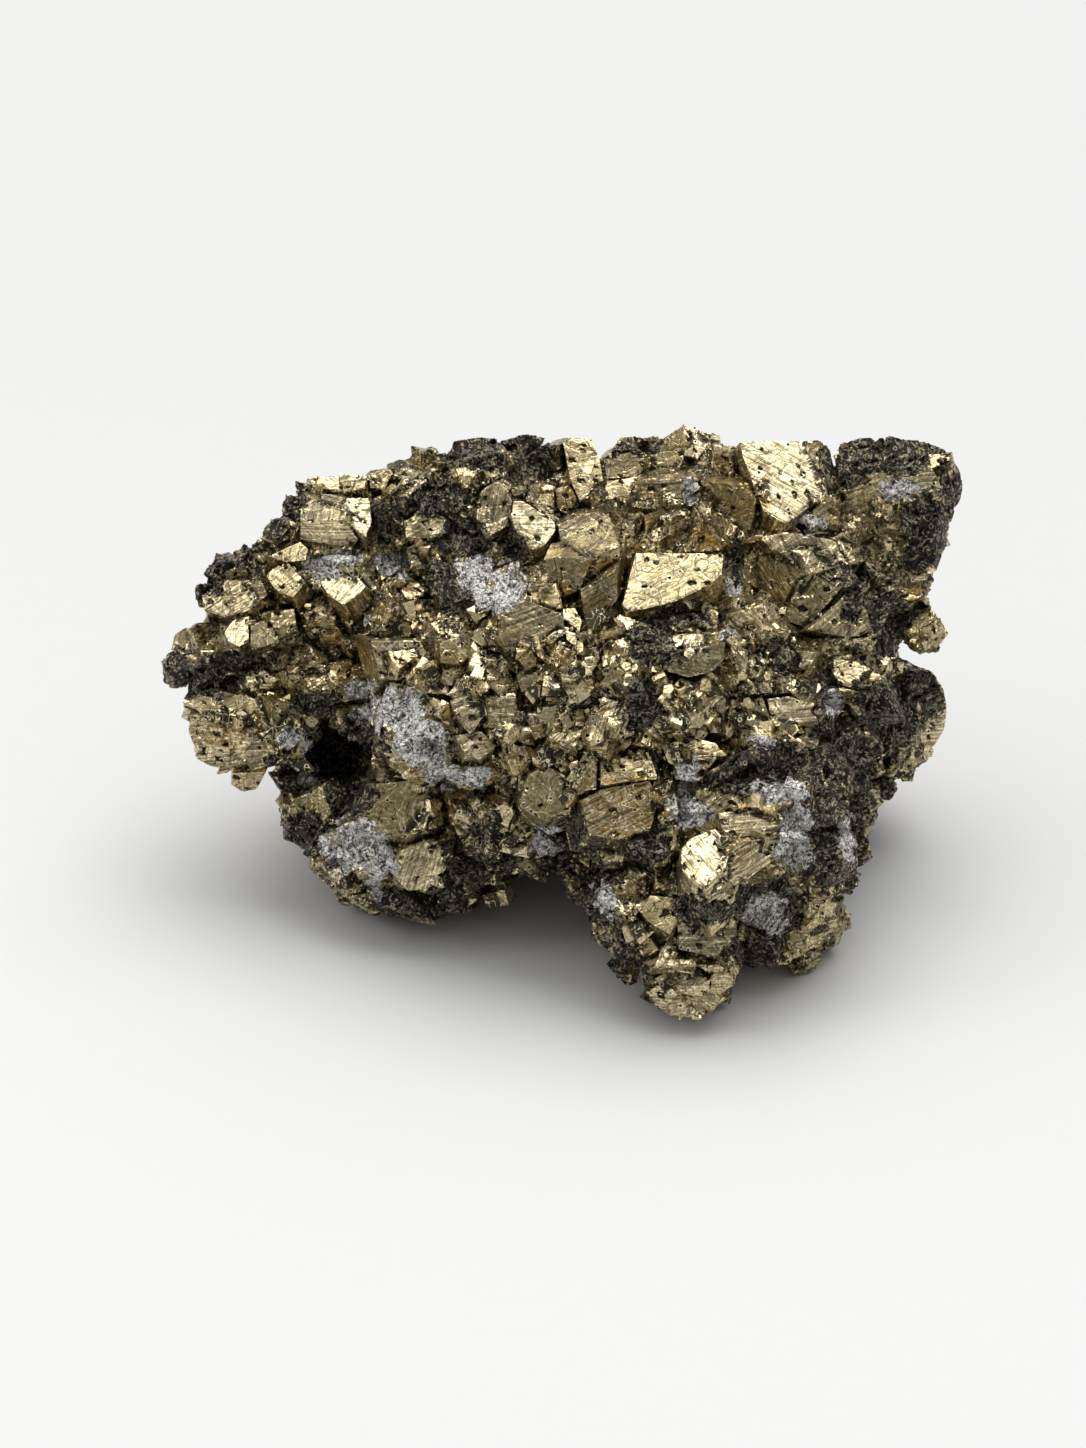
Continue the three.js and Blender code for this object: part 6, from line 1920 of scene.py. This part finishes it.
class Wiring(NodeTree):
    """The nodes of one material."""

    def __init__(self, name: str) -> None:
        """Makes the material with a Principled shader.

        Args:
            name: the material's name.
        """
        self.material = bpy.data.materials.new(name)
        self.material.use_nodes = True
        super().__init__(self.material.node_tree)
        self.shader = self.tree.nodes["Principled BSDF"]
        place = self.add("ShaderNodeTexCoord").outputs["Object"]
        self.millimetres = self.stretched(place, (1 / MM,) * 3)

    def finish(self, name: str, value: object) -> None:
        """Links or sets one input of the shader."""
        self.feed(self.shader.inputs[name], value)

    def kept(self, name: str) -> Socket:
        """The number that is stored for each point under a name."""
        return self.add("ShaderNodeAttribute", attribute_name=name).outputs["Fac"]

    def parts(self, colour: Socket) -> bpy.types.bpy_prop_collection:
        """The three parts of a colour."""
        return self.add("ShaderNodeSeparateColor", {0: colour}).outputs

    def stretched(self, vector: Socket, scale: tuple[float, ...]) -> Socket:
        """A vector scaled along each axis."""
        return self.add("ShaderNodeMapping", {"Vector": vector, "Scale": scale}).outputs[0]

    def vector(self, operation: str, values: dict[int | str, object]) -> bpy.types.Node:
        """A calculation with vectors."""
        return self.add("ShaderNodeVectorMath", values, operation=operation)

    def scaled(self, vector: object, amount: object) -> Socket:
        """A vector or a colour times a number."""
        return self.vector("SCALE", {0: vector, "Scale": amount}).outputs[0]

    def noise(self, vector: Socket, scale: float, detail: float = 2.0, rough: float = 0.5,
              bend: float = 0.0) -> Socket:
        """A noise texture's value, with `scale` waves for each unit and `detail` finer layers."""
        inputs = dict(zip(("Vector", "Scale", "Detail", "Roughness", "Distortion"),
                          (vector, scale, detail, rough, bend)))
        return self.add("ShaderNodeTexNoise", inputs).outputs["Fac"]

    def bent(self, vector: Socket, scale: float, amount: float) -> Socket:
        """A vector shaken by noise with `scale` waves for each unit, by `amount`."""
        shake = self.add("ShaderNodeTexNoise", {"Vector": vector, "Scale": scale}).outputs["Color"]
        return self.vector("MULTIPLY_ADD", {0: shake, 1: (amount,) * 3, 2: vector}).outputs[0]

    def voronoi(self, vector: Socket, scale: float, feature: str = "F1") -> bpy.types.Node:
        """A Voronoi texture in space with `scale` cells for each unit."""
        return self.add("ShaderNodeTexVoronoi", {"Vector": vector, "Scale": scale}, feature=feature)

    def facets(self, vector: Socket, scale: float) -> Socket:
        """Flat facets that lean each its own way.

        Args:
            vector: where they are read.
            scale: how many facets there are for each unit.

        Returns:
            The socket with their height in the vector's unit for a slope of 1.
        """
        cell = self.voronoi(vector, scale).outputs
        centre = self.vector("SUBTRACT", {0: vector, 1: cell["Position"]}).outputs[0]
        lean = self.vector("SUBTRACT", {0: cell["Color"], 1: (0.5, 0.5, 0.5)}).outputs[0]
        return self.vector("DOT_PRODUCT", {0: centre, 1: lean}).outputs["Value"]

    def range(self, value: Socket, low: float, high: float, start: float = 0.0, end: float = 1.0
              ) -> Socket:
        """A value that goes smoothly from `start` at `low` to `end` at `high`."""
        inputs = {"Value": value, "From Min": low, "From Max": high, "To Min": start, "To Max": end}
        return self.add("ShaderNodeMapRange", inputs, interpolation_type="SMOOTHSTEP").outputs[0]

    def maths(self, operation: str, first: object, second: object) -> Socket:
        """Two numbers put together."""
        return self.add("ShaderNodeMath", {0: first, 1: second}, operation=operation).outputs[0]

    def times(self, first: object, second: object) -> Socket:
        """One number times another."""
        return self.maths("MULTIPLY", first, second)

    def most(self, first: object, second: object) -> Socket:
        """The larger of two numbers."""
        return self.maths("MAXIMUM", first, second)

    def minus(self, first: object, second: object) -> Socket:
        """One number less another."""
        return self.maths("SUBTRACT", first, second)

    def sum(self, first: object, *others: object) -> Socket:
        """All numbers added, in their order."""
        for other in others:
            first = self.maths("ADD", first, other)
        return first

    def mixed(self, share: object, first: object, second: object) -> Socket:
        """Two colours mixed by a share."""
        return self.add("ShaderNodeMix", {0: share, 6: first, 7: second}, data_type="RGBA").outputs[2]

    def blended(self, share: object, first: object, second: object) -> Socket:
        """Two numbers mixed by a share."""
        return self.add("ShaderNodeMix", {0: share, 2: first, 3: second}, data_type="FLOAT").outputs[0]

    def bump(self, height: Socket, distance: float, strength: float) -> Socket:
        """A bump's normal, for a height of 1 that stands for `distance` metres."""
        inputs = {"Height": height, "Distance": distance, "Strength": strength}
        return self.add("ShaderNodeBump", inputs).outputs[0]


Colour = tuple[float, float, float]


@dataclass(frozen=True)
class PyriteFinish:
    """Brassy metal with tarnish, rust, pits, dark matrix, white crusts, and painted light and shade.

    Colours are linear, and waves and cells are counted for each millimetre. `contours` are the
    waves and the levels of the growth lines, and `pitless` is the share of cells without a pit.
    """

    name: str
    striated: bool
    contours: tuple[float, float]
    pitless: float
    bright: Colour = (0.61, 0.505, 0.3)
    tarnished: Colour = (0.43, 0.345, 0.17)
    rust: Colour = (0.36, 0.215, 0.035)
    # Painted shade in pits, crevices, hollows and at the bases of small crystals; also the colour of the
    # dark growth lines and cracks.
    pit: Colour = (0.03, 0.025, 0.016)
    # Painted highlight on pit edges and beside the growth lines.
    painted_highlight: Colour = (0.92, 0.82, 0.56)
    matrix: Colour = (0.0095, 0.008, 0.0062)
    # Lighter matrix on the stone walls: partly lace noise, partly painted light from the relief.
    ridge: Colour = (0.15, 0.128, 0.095)
    fleck: Colour = (0.42, 0.34, 0.2)
    thread: Colour = (0.5, 0.43, 0.32)
    crust: Colour = (0.88, 0.855, 0.81)
    between: Colour = (0.05, 0.045, 0.037)
    broad_waves: float = 0.45
    fine_waves: float = 2.6
    lace_waves: float = 1.7
    thread_waves: float = 0.5
    thread_rings: float = 5.5
    grit_waves: float = 4.0
    pit_cells: float = 1.1
    fleck_cells: float = 3.6
    metal_gloss: tuple[float, float] = (0.22, 0.34)
    rust_gloss: float = 0.4
    matrix_gloss: float = 0.28
    crust_gloss: float = 0.5

    def material(self) -> bpy.types.Material:
        """Builds the nodes.

        Returns:
            The material.
        """
        wire = Wiring(self.name)
        place = wire.millimetres
        cover = wire.add("ShaderNodeAttribute", attribute_name="cover").outputs
        tint = cover["Alpha"] if self.striated else wire.kept("own_tint")
        wear_and_painted_light, rough = wire.kept("wear_and_painted_light"), wire.kept("rough")
        broad = wire.noise(place, self.broad_waves, 3, 0.6)
        fine = wire.noise(place, self.fine_waves, 4, 0.65)
        lace = wire.noise(place, self.lace_waves, 5, 0.75, 1.2)
        rings = wire.times(wire.noise(place, self.thread_waves, 3, 0.55, 1.6), self.thread_rings)
        swirl = wire.maths("FRACT", rings, 0.0)
        thread = wire.times(wire.range(swirl, 0.06, 0.3, 1.0, 0.0), wire.range(lace, 0.36, 0.46))
        tone = wire.blended(0.5, tint, broad)
        # Painted highlight: the metal is lighter where the stored painted light is high, on crystal edges
        # and small crystal tips.
        tone = wire.sum(wire.range(tone, 0.17, 0.72), wire.range(wear_and_painted_light, 0.2, 1.0, 0.0, 0.5))
        metal = wire.mixed(tone, self.tarnished, self.bright)
        shares = self.shares(wire, cover["Color"], fine, lace)
        rust_share, dark_share, white_share = shares
        pits, rims = self.pits(wire)
        grit = wire.noise(place, self.grit_waves, 3, 0.75)
        matrix, fleck_share = self.matrix_colour(wire, wear_and_painted_light, lace, thread)
        colour = wire.mixed(rust_share, metal, self.rust)
        # Painted shade: pits, crevices, hollows and the bases of small crystals are painted near black.
        deep = wire.most(pits, wire.range(wear_and_painted_light, -0.85, 0.0, 0.95, 0.0))
        line, light, lines, relief = self.lines(wire, tint, rough, broad)
        colour = wire.mixed(wire.most(deep, line), colour, self.pit)
        # Painted highlights beside the growth lines and around the pits; in the matrix the pit edges are
        # painted in the thread colour.
        colour = wire.mixed(wire.most(rims, light), colour, self.painted_highlight)
        matrix = wire.mixed(rims, matrix, self.thread)
        colour = wire.mixed(dark_share, colour, matrix)
        laced = wire.minus(wire.range(lace, 0.4, 0.52), wire.range(swirl, 0.0, 0.4, 0.5, 0.0))
        laced = wire.mixed(laced, self.between, self.crust)
        colour = wire.mixed(white_share, colour, laced)
        stone = wire.most(dark_share, white_share)
        colour = wire.scaled(colour, wire.blended(stone, lines, 1.0))
        even, uneven = (wire.range(grit, 0.34, 0.66, 1 - by, 1 + by) for by in (0.2, 0.6))
        grainy = wire.blended(stone, even, uneven)
        colour = wire.scaled(colour, grainy)
        wire.finish("Base Color", colour)
        self.shine(wire, fine, fleck_share, shares)
        knots = wire.sum(wire.times(lace, 0.4), wire.times(thread, 0.2))
        height = wire.sum(
            wire.times(wire.facets(place, 0.55), wire.blended(rough, 0.05, 0.65)),
            wire.times(wire.facets(place, 1.6), wire.blended(rough, 0.02, 0.4)),
            relief,
            wire.times(grit, wire.blended(stone, 0.006, 0.05)),
            wire.times(pits, -0.05),
            wire.times(knots, stone),
        )
        wire.finish("Normal", wire.bump(height, MM, 0.8))
        return wire.material

    def shares(self, wire: Wiring, cover: Socket, fine: Socket, lace: Socket) -> tuple[Socket, ...]:
        """How far each place is covered, with borders that noise breaks up.

        Args:
            wire: the material's nodes.
            cover: the stored dark, rust and white.
            fine: the noise at the borders of the dark and the white.
            lace: the noise at the borders of the rust.

        Returns:
            How rusty, dark and white each place is.
        """
        dark, rust, white = wire.parts(cover)
        rusty = wire.sum(wire.range(lace, 0.35, 0.65, 0.75, -0.75), rust)
        darkish = wire.sum(wire.range(fine, 0.3, 0.7, -0.35, 0.35), dark)
        whitish = wire.sum(wire.range(fine, 0.3, 0.7, -0.4, 0.4), white)
        rust_share = wire.range(rusty, 0.7, 1.2, 0.0, 0.8)
        return rust_share, wire.range(darkish, 0.42, 0.6), wire.range(whitish, 0.4, 0.65)

    def lines(self, wire: Wiring, tint: Socket, rough: Socket, broad: Socket
              ) -> tuple[Socket | float, ...]:
        """Curved growth lines with painted highlights beside them, cracks and, on the large crystals,
        striae.

        Args:
            wire: the material's nodes.
            tint: each crystal's own number, which sets how strongly it is lined.
            rough: how uneven each crystal is.
            broad: the noise that says where it is cracked.

        Returns:
            How dark a line is, how far a painted highlight runs beside it, how bright the striae are, and
            the height.
        """
        waves, levels = self.contours
        contour = wire.times(wire.noise(wire.millimetres, waves, 3, 0.5, 0.6), levels)
        along = wire.maths("FRACT", contour, 0.0)
        lined = wire.range(tint, 0.25, 0.6, 0.3, 1.0)
        line = wire.times(wire.range(along, 0.03, 0.2, 1.0, 0.0), wire.blended(lined, 0.9, 0.6))
        # Painted highlight: a light band just beside each growth line.
        light = wire.times(wire.range(along, 0.18, 0.24), wire.range(along, 0.28, 0.4, 0.7, 0.0))
        bent = wire.bent(wire.millimetres, 0.7, 0.5)
        crackle = wire.voronoi(bent, 0.5, "DISTANCE_TO_EDGE")
        groove = wire.range(crackle.outputs["Distance"], 0.0, 0.035)
        crack = wire.times(wire.minus(1.0, groove), wire.range(broad, 0.5, 0.6))
        line = wire.most(line, wire.times(crack, 0.8))
        steps = wire.maths("FLOOR", contour, 0.0)
        relief = wire.sum(wire.times(steps, 0.02), wire.times(groove, 0.03))
        if not self.striated:
            return line, light, 1.0, relief
        grain = wire.add("ShaderNodeUVMap", uv_map="grain").outputs[0]
        striae = wire.noise(wire.stretched(grain, (0.15, 3.0, 1.0)), 1.0, 3, 0.6, 0.1)
        scored = wire.times(wire.range(striae, 0.4, 0.5, 0.65, 0.0), lined)
        line = wire.most(line, wire.times(scored, wire.blended(rough, 1.0, 0.3)))
        lines = wire.noise(wire.stretched(grain, (0.3, 4.5, 1.0)), 1.0, 3, 0.7, 0.2)
        lines = wire.blended(lined, 1.0, wire.range(lines, 0.36, 0.64, 0.5, 1.45))
        return line, light, lines, wire.sum(relief, wire.times(striae, 0.04))

    def pits(self, wire: Wiring) -> tuple[Socket, Socket]:
        """Small round pits, painted dark as shade, with painted highlights around their edges.

        Args:
            wire: the material's nodes.

        Returns:
            How far each place is in a pit, and how far on the painted highlight around it.
        """
        spots = wire.voronoi(wire.millimetres, self.pit_cells).outputs
        off = spots["Distance"]
        chosen = wire.range(wire.parts(spots["Color"])[0], self.pitless, self.pitless + 0.05)
        # Painted highlight: a light ring just outside each pit.
        rims = wire.times(wire.range(off, 0.17, 0.22), wire.range(off, 0.25, 0.32, 0.7, 0.0))
        return wire.times(wire.range(off, 0.12, 0.2, 1.0, 0.0), chosen), wire.times(rims, chosen)

    def matrix_colour(self, wire: Wiring, wear_and_painted_light: Socket, lace: Socket, thread: Socket
                      ) -> tuple[Socket, Socket]:
        """The black matrix with its ridges, painted lighter on the stone walls, threads and metallic
        flecks.

        Args:
            wire: the material's nodes.
            wear_and_painted_light: the stored painted light: high on the stone walls, low in pits, hollows
                and crevices.
            lace: the noise that breaks up the ridges.
            thread: where the light threads run.

        Returns:
            The colour, and how metallic the matrix is.
        """
        flecks = wire.voronoi(wire.millimetres, self.fleck_cells)
        fleck_share = wire.range(wire.parts(flecks.outputs["Color"])[1], 0.88, 0.9)
        # The flecks stay out of the places painted as shade; the ridge colour shows where the stone walls
        # are painted light, mixed with lace noise.
        fleck_share = wire.times(fleck_share, wire.range(wear_and_painted_light, -0.9, -0.4))
        high = wire.blended(0.6, wire.range(wear_and_painted_light, -1.0, 1.0), lace)
        matrix = wire.mixed(wire.range(high, 0.55, 0.72, 0.0, 0.45), self.matrix, self.ridge)
        matrix = wire.mixed(wire.times(thread, 0.9), matrix, self.thread)
        return wire.mixed(fleck_share, matrix, self.fleck), fleck_share

    def shine(self, wire: Wiring, fine: Socket, flecks: Socket, shares: tuple[Socket, ...]) -> None:
        """Sets how metallic, rough and shiny the surface is.

        Args:
            wire: the material's nodes.
            fine: the noise that makes the metal's gloss uneven.
            flecks: how metallic the matrix is.
            shares: how rusty, dark and white each place is.
        """
        metallic, gloss = 1.0, wire.range(fine, 0.3, 0.7, *self.metal_gloss)
        metals = (0.85, flecks, 0.0)
        glosses = (self.rust_gloss, self.matrix_gloss, self.crust_gloss)
        for share, metal, own_gloss in zip(shares, metals, glosses):
            metallic = wire.blended(share, metallic, metal)
            gloss = wire.blended(share, gloss, own_gloss)
        wire.finish("Metallic", metallic)
        wire.finish("Roughness", gloss)
        _, dark, white = shares
        specular = wire.blended(white, wire.blended(dark, 0.5, 0.16), 0.14)
        wire.finish("Specular IOR Level", specular)


@dataclass(frozen=True)
class QuartzFinish:
    """Milky quartz points with grey dirt between them; linear colours."""

    name: str = "milky_quartz"
    pale: Colour = (0.9, 0.88, 0.84)
    dirty: Colour = (0.12, 0.11, 0.095)
    gloss: tuple[float, float] = (0.18, 0.45)
    refraction: float = 1.54
    relief: float = 0.05 * MM

    def material(self) -> bpy.types.Material:
        """Builds the nodes.

        Returns:
            The material.
        """
        wire = Wiring(self.name)
        place = wire.millimetres
        own = wire.kept("own_tint")
        haze = wire.blended(0.75, own, wire.noise(place, 1.3, 5, 0.75, 1.6))
        colour = wire.mixed(wire.range(haze, 0.38, 0.5), self.dirty, self.pale)
        wire.finish("Base Color", colour)
        wire.finish("Roughness", wire.range(own, 0.0, 1.0, *self.gloss))
        wire.finish("IOR", self.refraction)
        fine = wire.noise(place, 6.0, 2, 0.6)
        wire.finish("Normal", wire.bump(fine, self.relief, 0.4))
        return wire.material


@dataclass
class Studio:
    """The pale floor, the soft lights and the camera; lengths in metres.

    The floor is painted darker, as shade, from the first to the second place of `floor_fade`,
    in millimetres from the front, by its third number. Each of the `boxes` is a light with its
    name, place, width and height, and power.
    """

    floor_half: float = 4.0
    floor_drop: float = 0.00005
    floor_tone: Colour = (0.7, 0.7, 0.695)
    floor_fade: tuple[float, float, float] = (-80.0, 160.0, 0.1)
    frame_height: float = 144.8 * MM
    sensor: float = 36.0
    view_transform: str = "Standard"
    sky_greys: tuple[tuple[float, float], ...] = (
        (0.0, 0.3), (0.35, 0.42), (0.7, 0.85), (0.85, 1.2), (1.0, 1.3)
    )
    sky_strength: float = 0.98
    boxes: tuple[tuple[str, Place, tuple[float, float], float], ...] = (
        ("overhead_box", (0.1, 0.45, 1.4), (1.6, 1.2), 18.0),
        ("left_box", (-0.7, -0.1, 0.45), (0.3, 0.4), 0.9),
    )

    def floor(self) -> None:
        """Lays the floor just below the specimen."""
        h = self.floor_half
        points = np.array([(-h, -h, 0), (h, -h, 0), (h, h, 0), (-h, h, 0)], dtype=float)
        points[:, 2] = -self.floor_drop
        piece = new_mesh("floor", points / MM, np.array([(0, 1, 2), (0, 2, 3)]))
        wire = Wiring("matt_paper")
        grain = wire.noise(wire.millimetres, 0.4, 3, 0.6)
        low = tuple(0.985 * c for c in self.floor_tone)
        paper = wire.mixed(grain, low, self.floor_tone)
        depth = wire.add("ShaderNodeSeparateXYZ", {0: wire.millimetres}).outputs[1]
        # Painted shade: the paper is darkened towards the back.
        near, far, darker = self.floor_fade
        shade = wire.range(depth, near, far, 0.0, darker)
        wire.finish("Base Color", wire.mixed(shade, paper, (0.0, 0.0, 0.0)))
        wire.finish("Roughness", 0.9)
        wire.finish("Specular IOR Level", 0.15)
        piece.data.materials.append(wire.material)

    def sky(self) -> None:
        """Sets a soft surround: bright overhead and behind, dim in front."""
        world = bpy.data.worlds.new("studio")
        bpy.context.scene.world = world
        world.use_nodes = True
        tree = NodeTree(world.node_tree)
        back = tree.tree.nodes["Background"].inputs
        place = tree.add("ShaderNodeTexCoord").outputs["Generated"]
        _, depth, up = tree.add("ShaderNodeSeparateXYZ", {0: place}).outputs
        height = tree.add("ShaderNodeValToRGB", {0: up})
        greys = height.color_ramp.elements
        while len(greys) < len(self.sky_greys):
            greys.new(0.5)
        for element, (share, grey) in zip(greys, self.sky_greys):
            element.position = share
            element.color = (grey, grey, grey, 1.0)
        ends = {"Value": depth, "From Min": -0.7, "From Max": 0.6, "To Min": 0.47, "To Max": 1.1}
        side = tree.add("ShaderNodeMapRange", ends).outputs[0]
        both = {0: height.outputs[0], "Scale": side}
        scale = tree.add("ShaderNodeVectorMath", both, operation="SCALE").outputs[0]
        tree.feed(back["Color"], scale)
        tree.feed(back["Strength"], self.sky_strength)

    def light(self, name: str, place: Place, size: tuple[float, float], power: float) -> None:
        """Hangs one soft box that looks at the specimen.

        Args:
            name: the light's name.
            place: where it hangs.
            size: its width and height.
            power: its power in watts.
        """
        data = bpy.data.lights.new(name, "AREA")
        data.shape = "RECTANGLE"
        data.size, data.size_y = size
        data.energy = power
        lamp = bpy.data.objects.new(name, data)
        lamp.location = place
        aim = Vector((0, 0, 0.02)) - lamp.location
        lamp.rotation_euler = aim.to_track_quat("-Z", "Y").to_euler()
        bpy.context.scene.collection.objects.link(lamp)

    def lights(self) -> None:
        """Hangs the large box overhead and the small one at the left."""
        for box in self.boxes:
            self.light(*box)

    def camera(self) -> None:
        """Sets the camera at the photograph's viewing angle."""
        data = bpy.data.cameras.new("camera")
        data.sensor_width = self.sensor
        data.lens = self.sensor * VIEW.distance * MM / self.frame_height
        data.clip_end = 20.0
        eye = bpy.data.objects.new("camera", data)
        shift = Vector(CENTRING)
        eye.location = (Vector(VIEW.eye()) + shift) * MM
        eye.rotation_euler = (-Vector(VIEW.towards())).to_track_quat("-Z", "Y").to_euler()
        bpy.context.scene.collection.objects.link(eye)
        bpy.context.scene.camera = eye

    def build(self) -> None:
        """Sets up the whole studio."""
        self.floor()
        self.sky()
        self.lights()
        self.camera()
        bpy.context.scene.view_settings.view_transform = self.view_transform


def dressed_pieces(parts: list[Dressed], name: str, dress: bpy.types.Material) -> list[object]:
    """Joins dressed skins into pieces of less than 200,000 triangles.

    Args:
        parts: the skins.
        name: the pieces' name, to which a number is added.
        dress: their material.

    Returns:
        The pieces.
    """
    batches: list[list[Dressed]] = [[]]
    for part in parts:
        if sum(len(p.skin.triangles) for p in [*batches[-1], part]) > MOST_TRIANGLES:
            batches.append([])
        batches[-1].append(part)
    made = []
    for number, batch in enumerate(batches):
        piece = new_mesh(f"{name}_{number + 1}", *joined(batch))
        give_cover(piece, np.vstack([p.cover for p in batch]))
        for kept in ("wear_and_painted_light", "rough"):
            give_point_values(piece, kept, np.concatenate([getattr(p, kept) for p in batch]))
        grains = [p.grain for p in batch if len(p.grain)]
        if grains:
            layer = piece.data.uv_layers.new(name="grain")
            flat = np.vstack(grains).astype(np.float32).ravel()
            layer.uv.foreach_set("vector", flat)
        piece.data.shade_smooth()
        piece.data.set_sharp_from_angle(angle=math.radians(SHARP_DEG))
        piece.data.materials.append(dress)
        made.append(piece)
    return made


def hand_over(piece: bpy.types.Object) -> None:
    """Makes a finished piece ride with the specimen and stand for its solid.

    Args:
        piece: the piece.
    """
    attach(piece, BODY)
    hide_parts(CAD_NODE)
    log.info("%s: %d triangles", piece.name, len(piece.data.polygons))


def main() -> None:
    """Builds the specimen and its studio."""
    lumps = Lumps()
    cluster = Cluster(lumps)
    crystals = cluster.faced()
    crystals += [cluster.knob(spec) for spec in EDGE_KNOBS]
    crystals += cluster.filling()
    crystals += cluster.strewn()
    log.info("%d large crystals", len(crystals))
    crowd = Crowd(crystals, lumps)
    skins = CrystalSkins(crowd)
    dressed = [skins.dress(number) for number in range(len(crystals))]
    shown = [part for part in dressed if part is not None]
    massif = Massif().build(crowd)
    worked = PyriteFinish("worked_pyrite", True, contours=(0.32, 9.0), pitless=0.6).material()
    small = PyriteFinish("small_crystal_pyrite", False, contours=(0.8, 6.0), pitless=0.35).material()
    quartz = QuartzFinish().material()
    pieces = dressed_pieces(shown, "large_crystals", worked)
    pieces += dressed_pieces([massif], "rock_massif", worked)
    bed = Bed([massif, *shown])
    templates = Templates()
    habits, points = templates.pyrite(), templates.quartz()
    for growth in GROWTHS:
        milky = growth.kind is GrowthKind.QUARTZ
        nodes = GrowthNodes(growth, points if milky else habits, quartz if milky else small)
        pieces.append(nodes.grow_on(bed))
    bed.remove()
    for template in habits + points:
        remove_piece(template)
    for piece in pieces:
        hand_over(piece)
    Studio().build()
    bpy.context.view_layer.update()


if __name__ == "__main__":
    main()
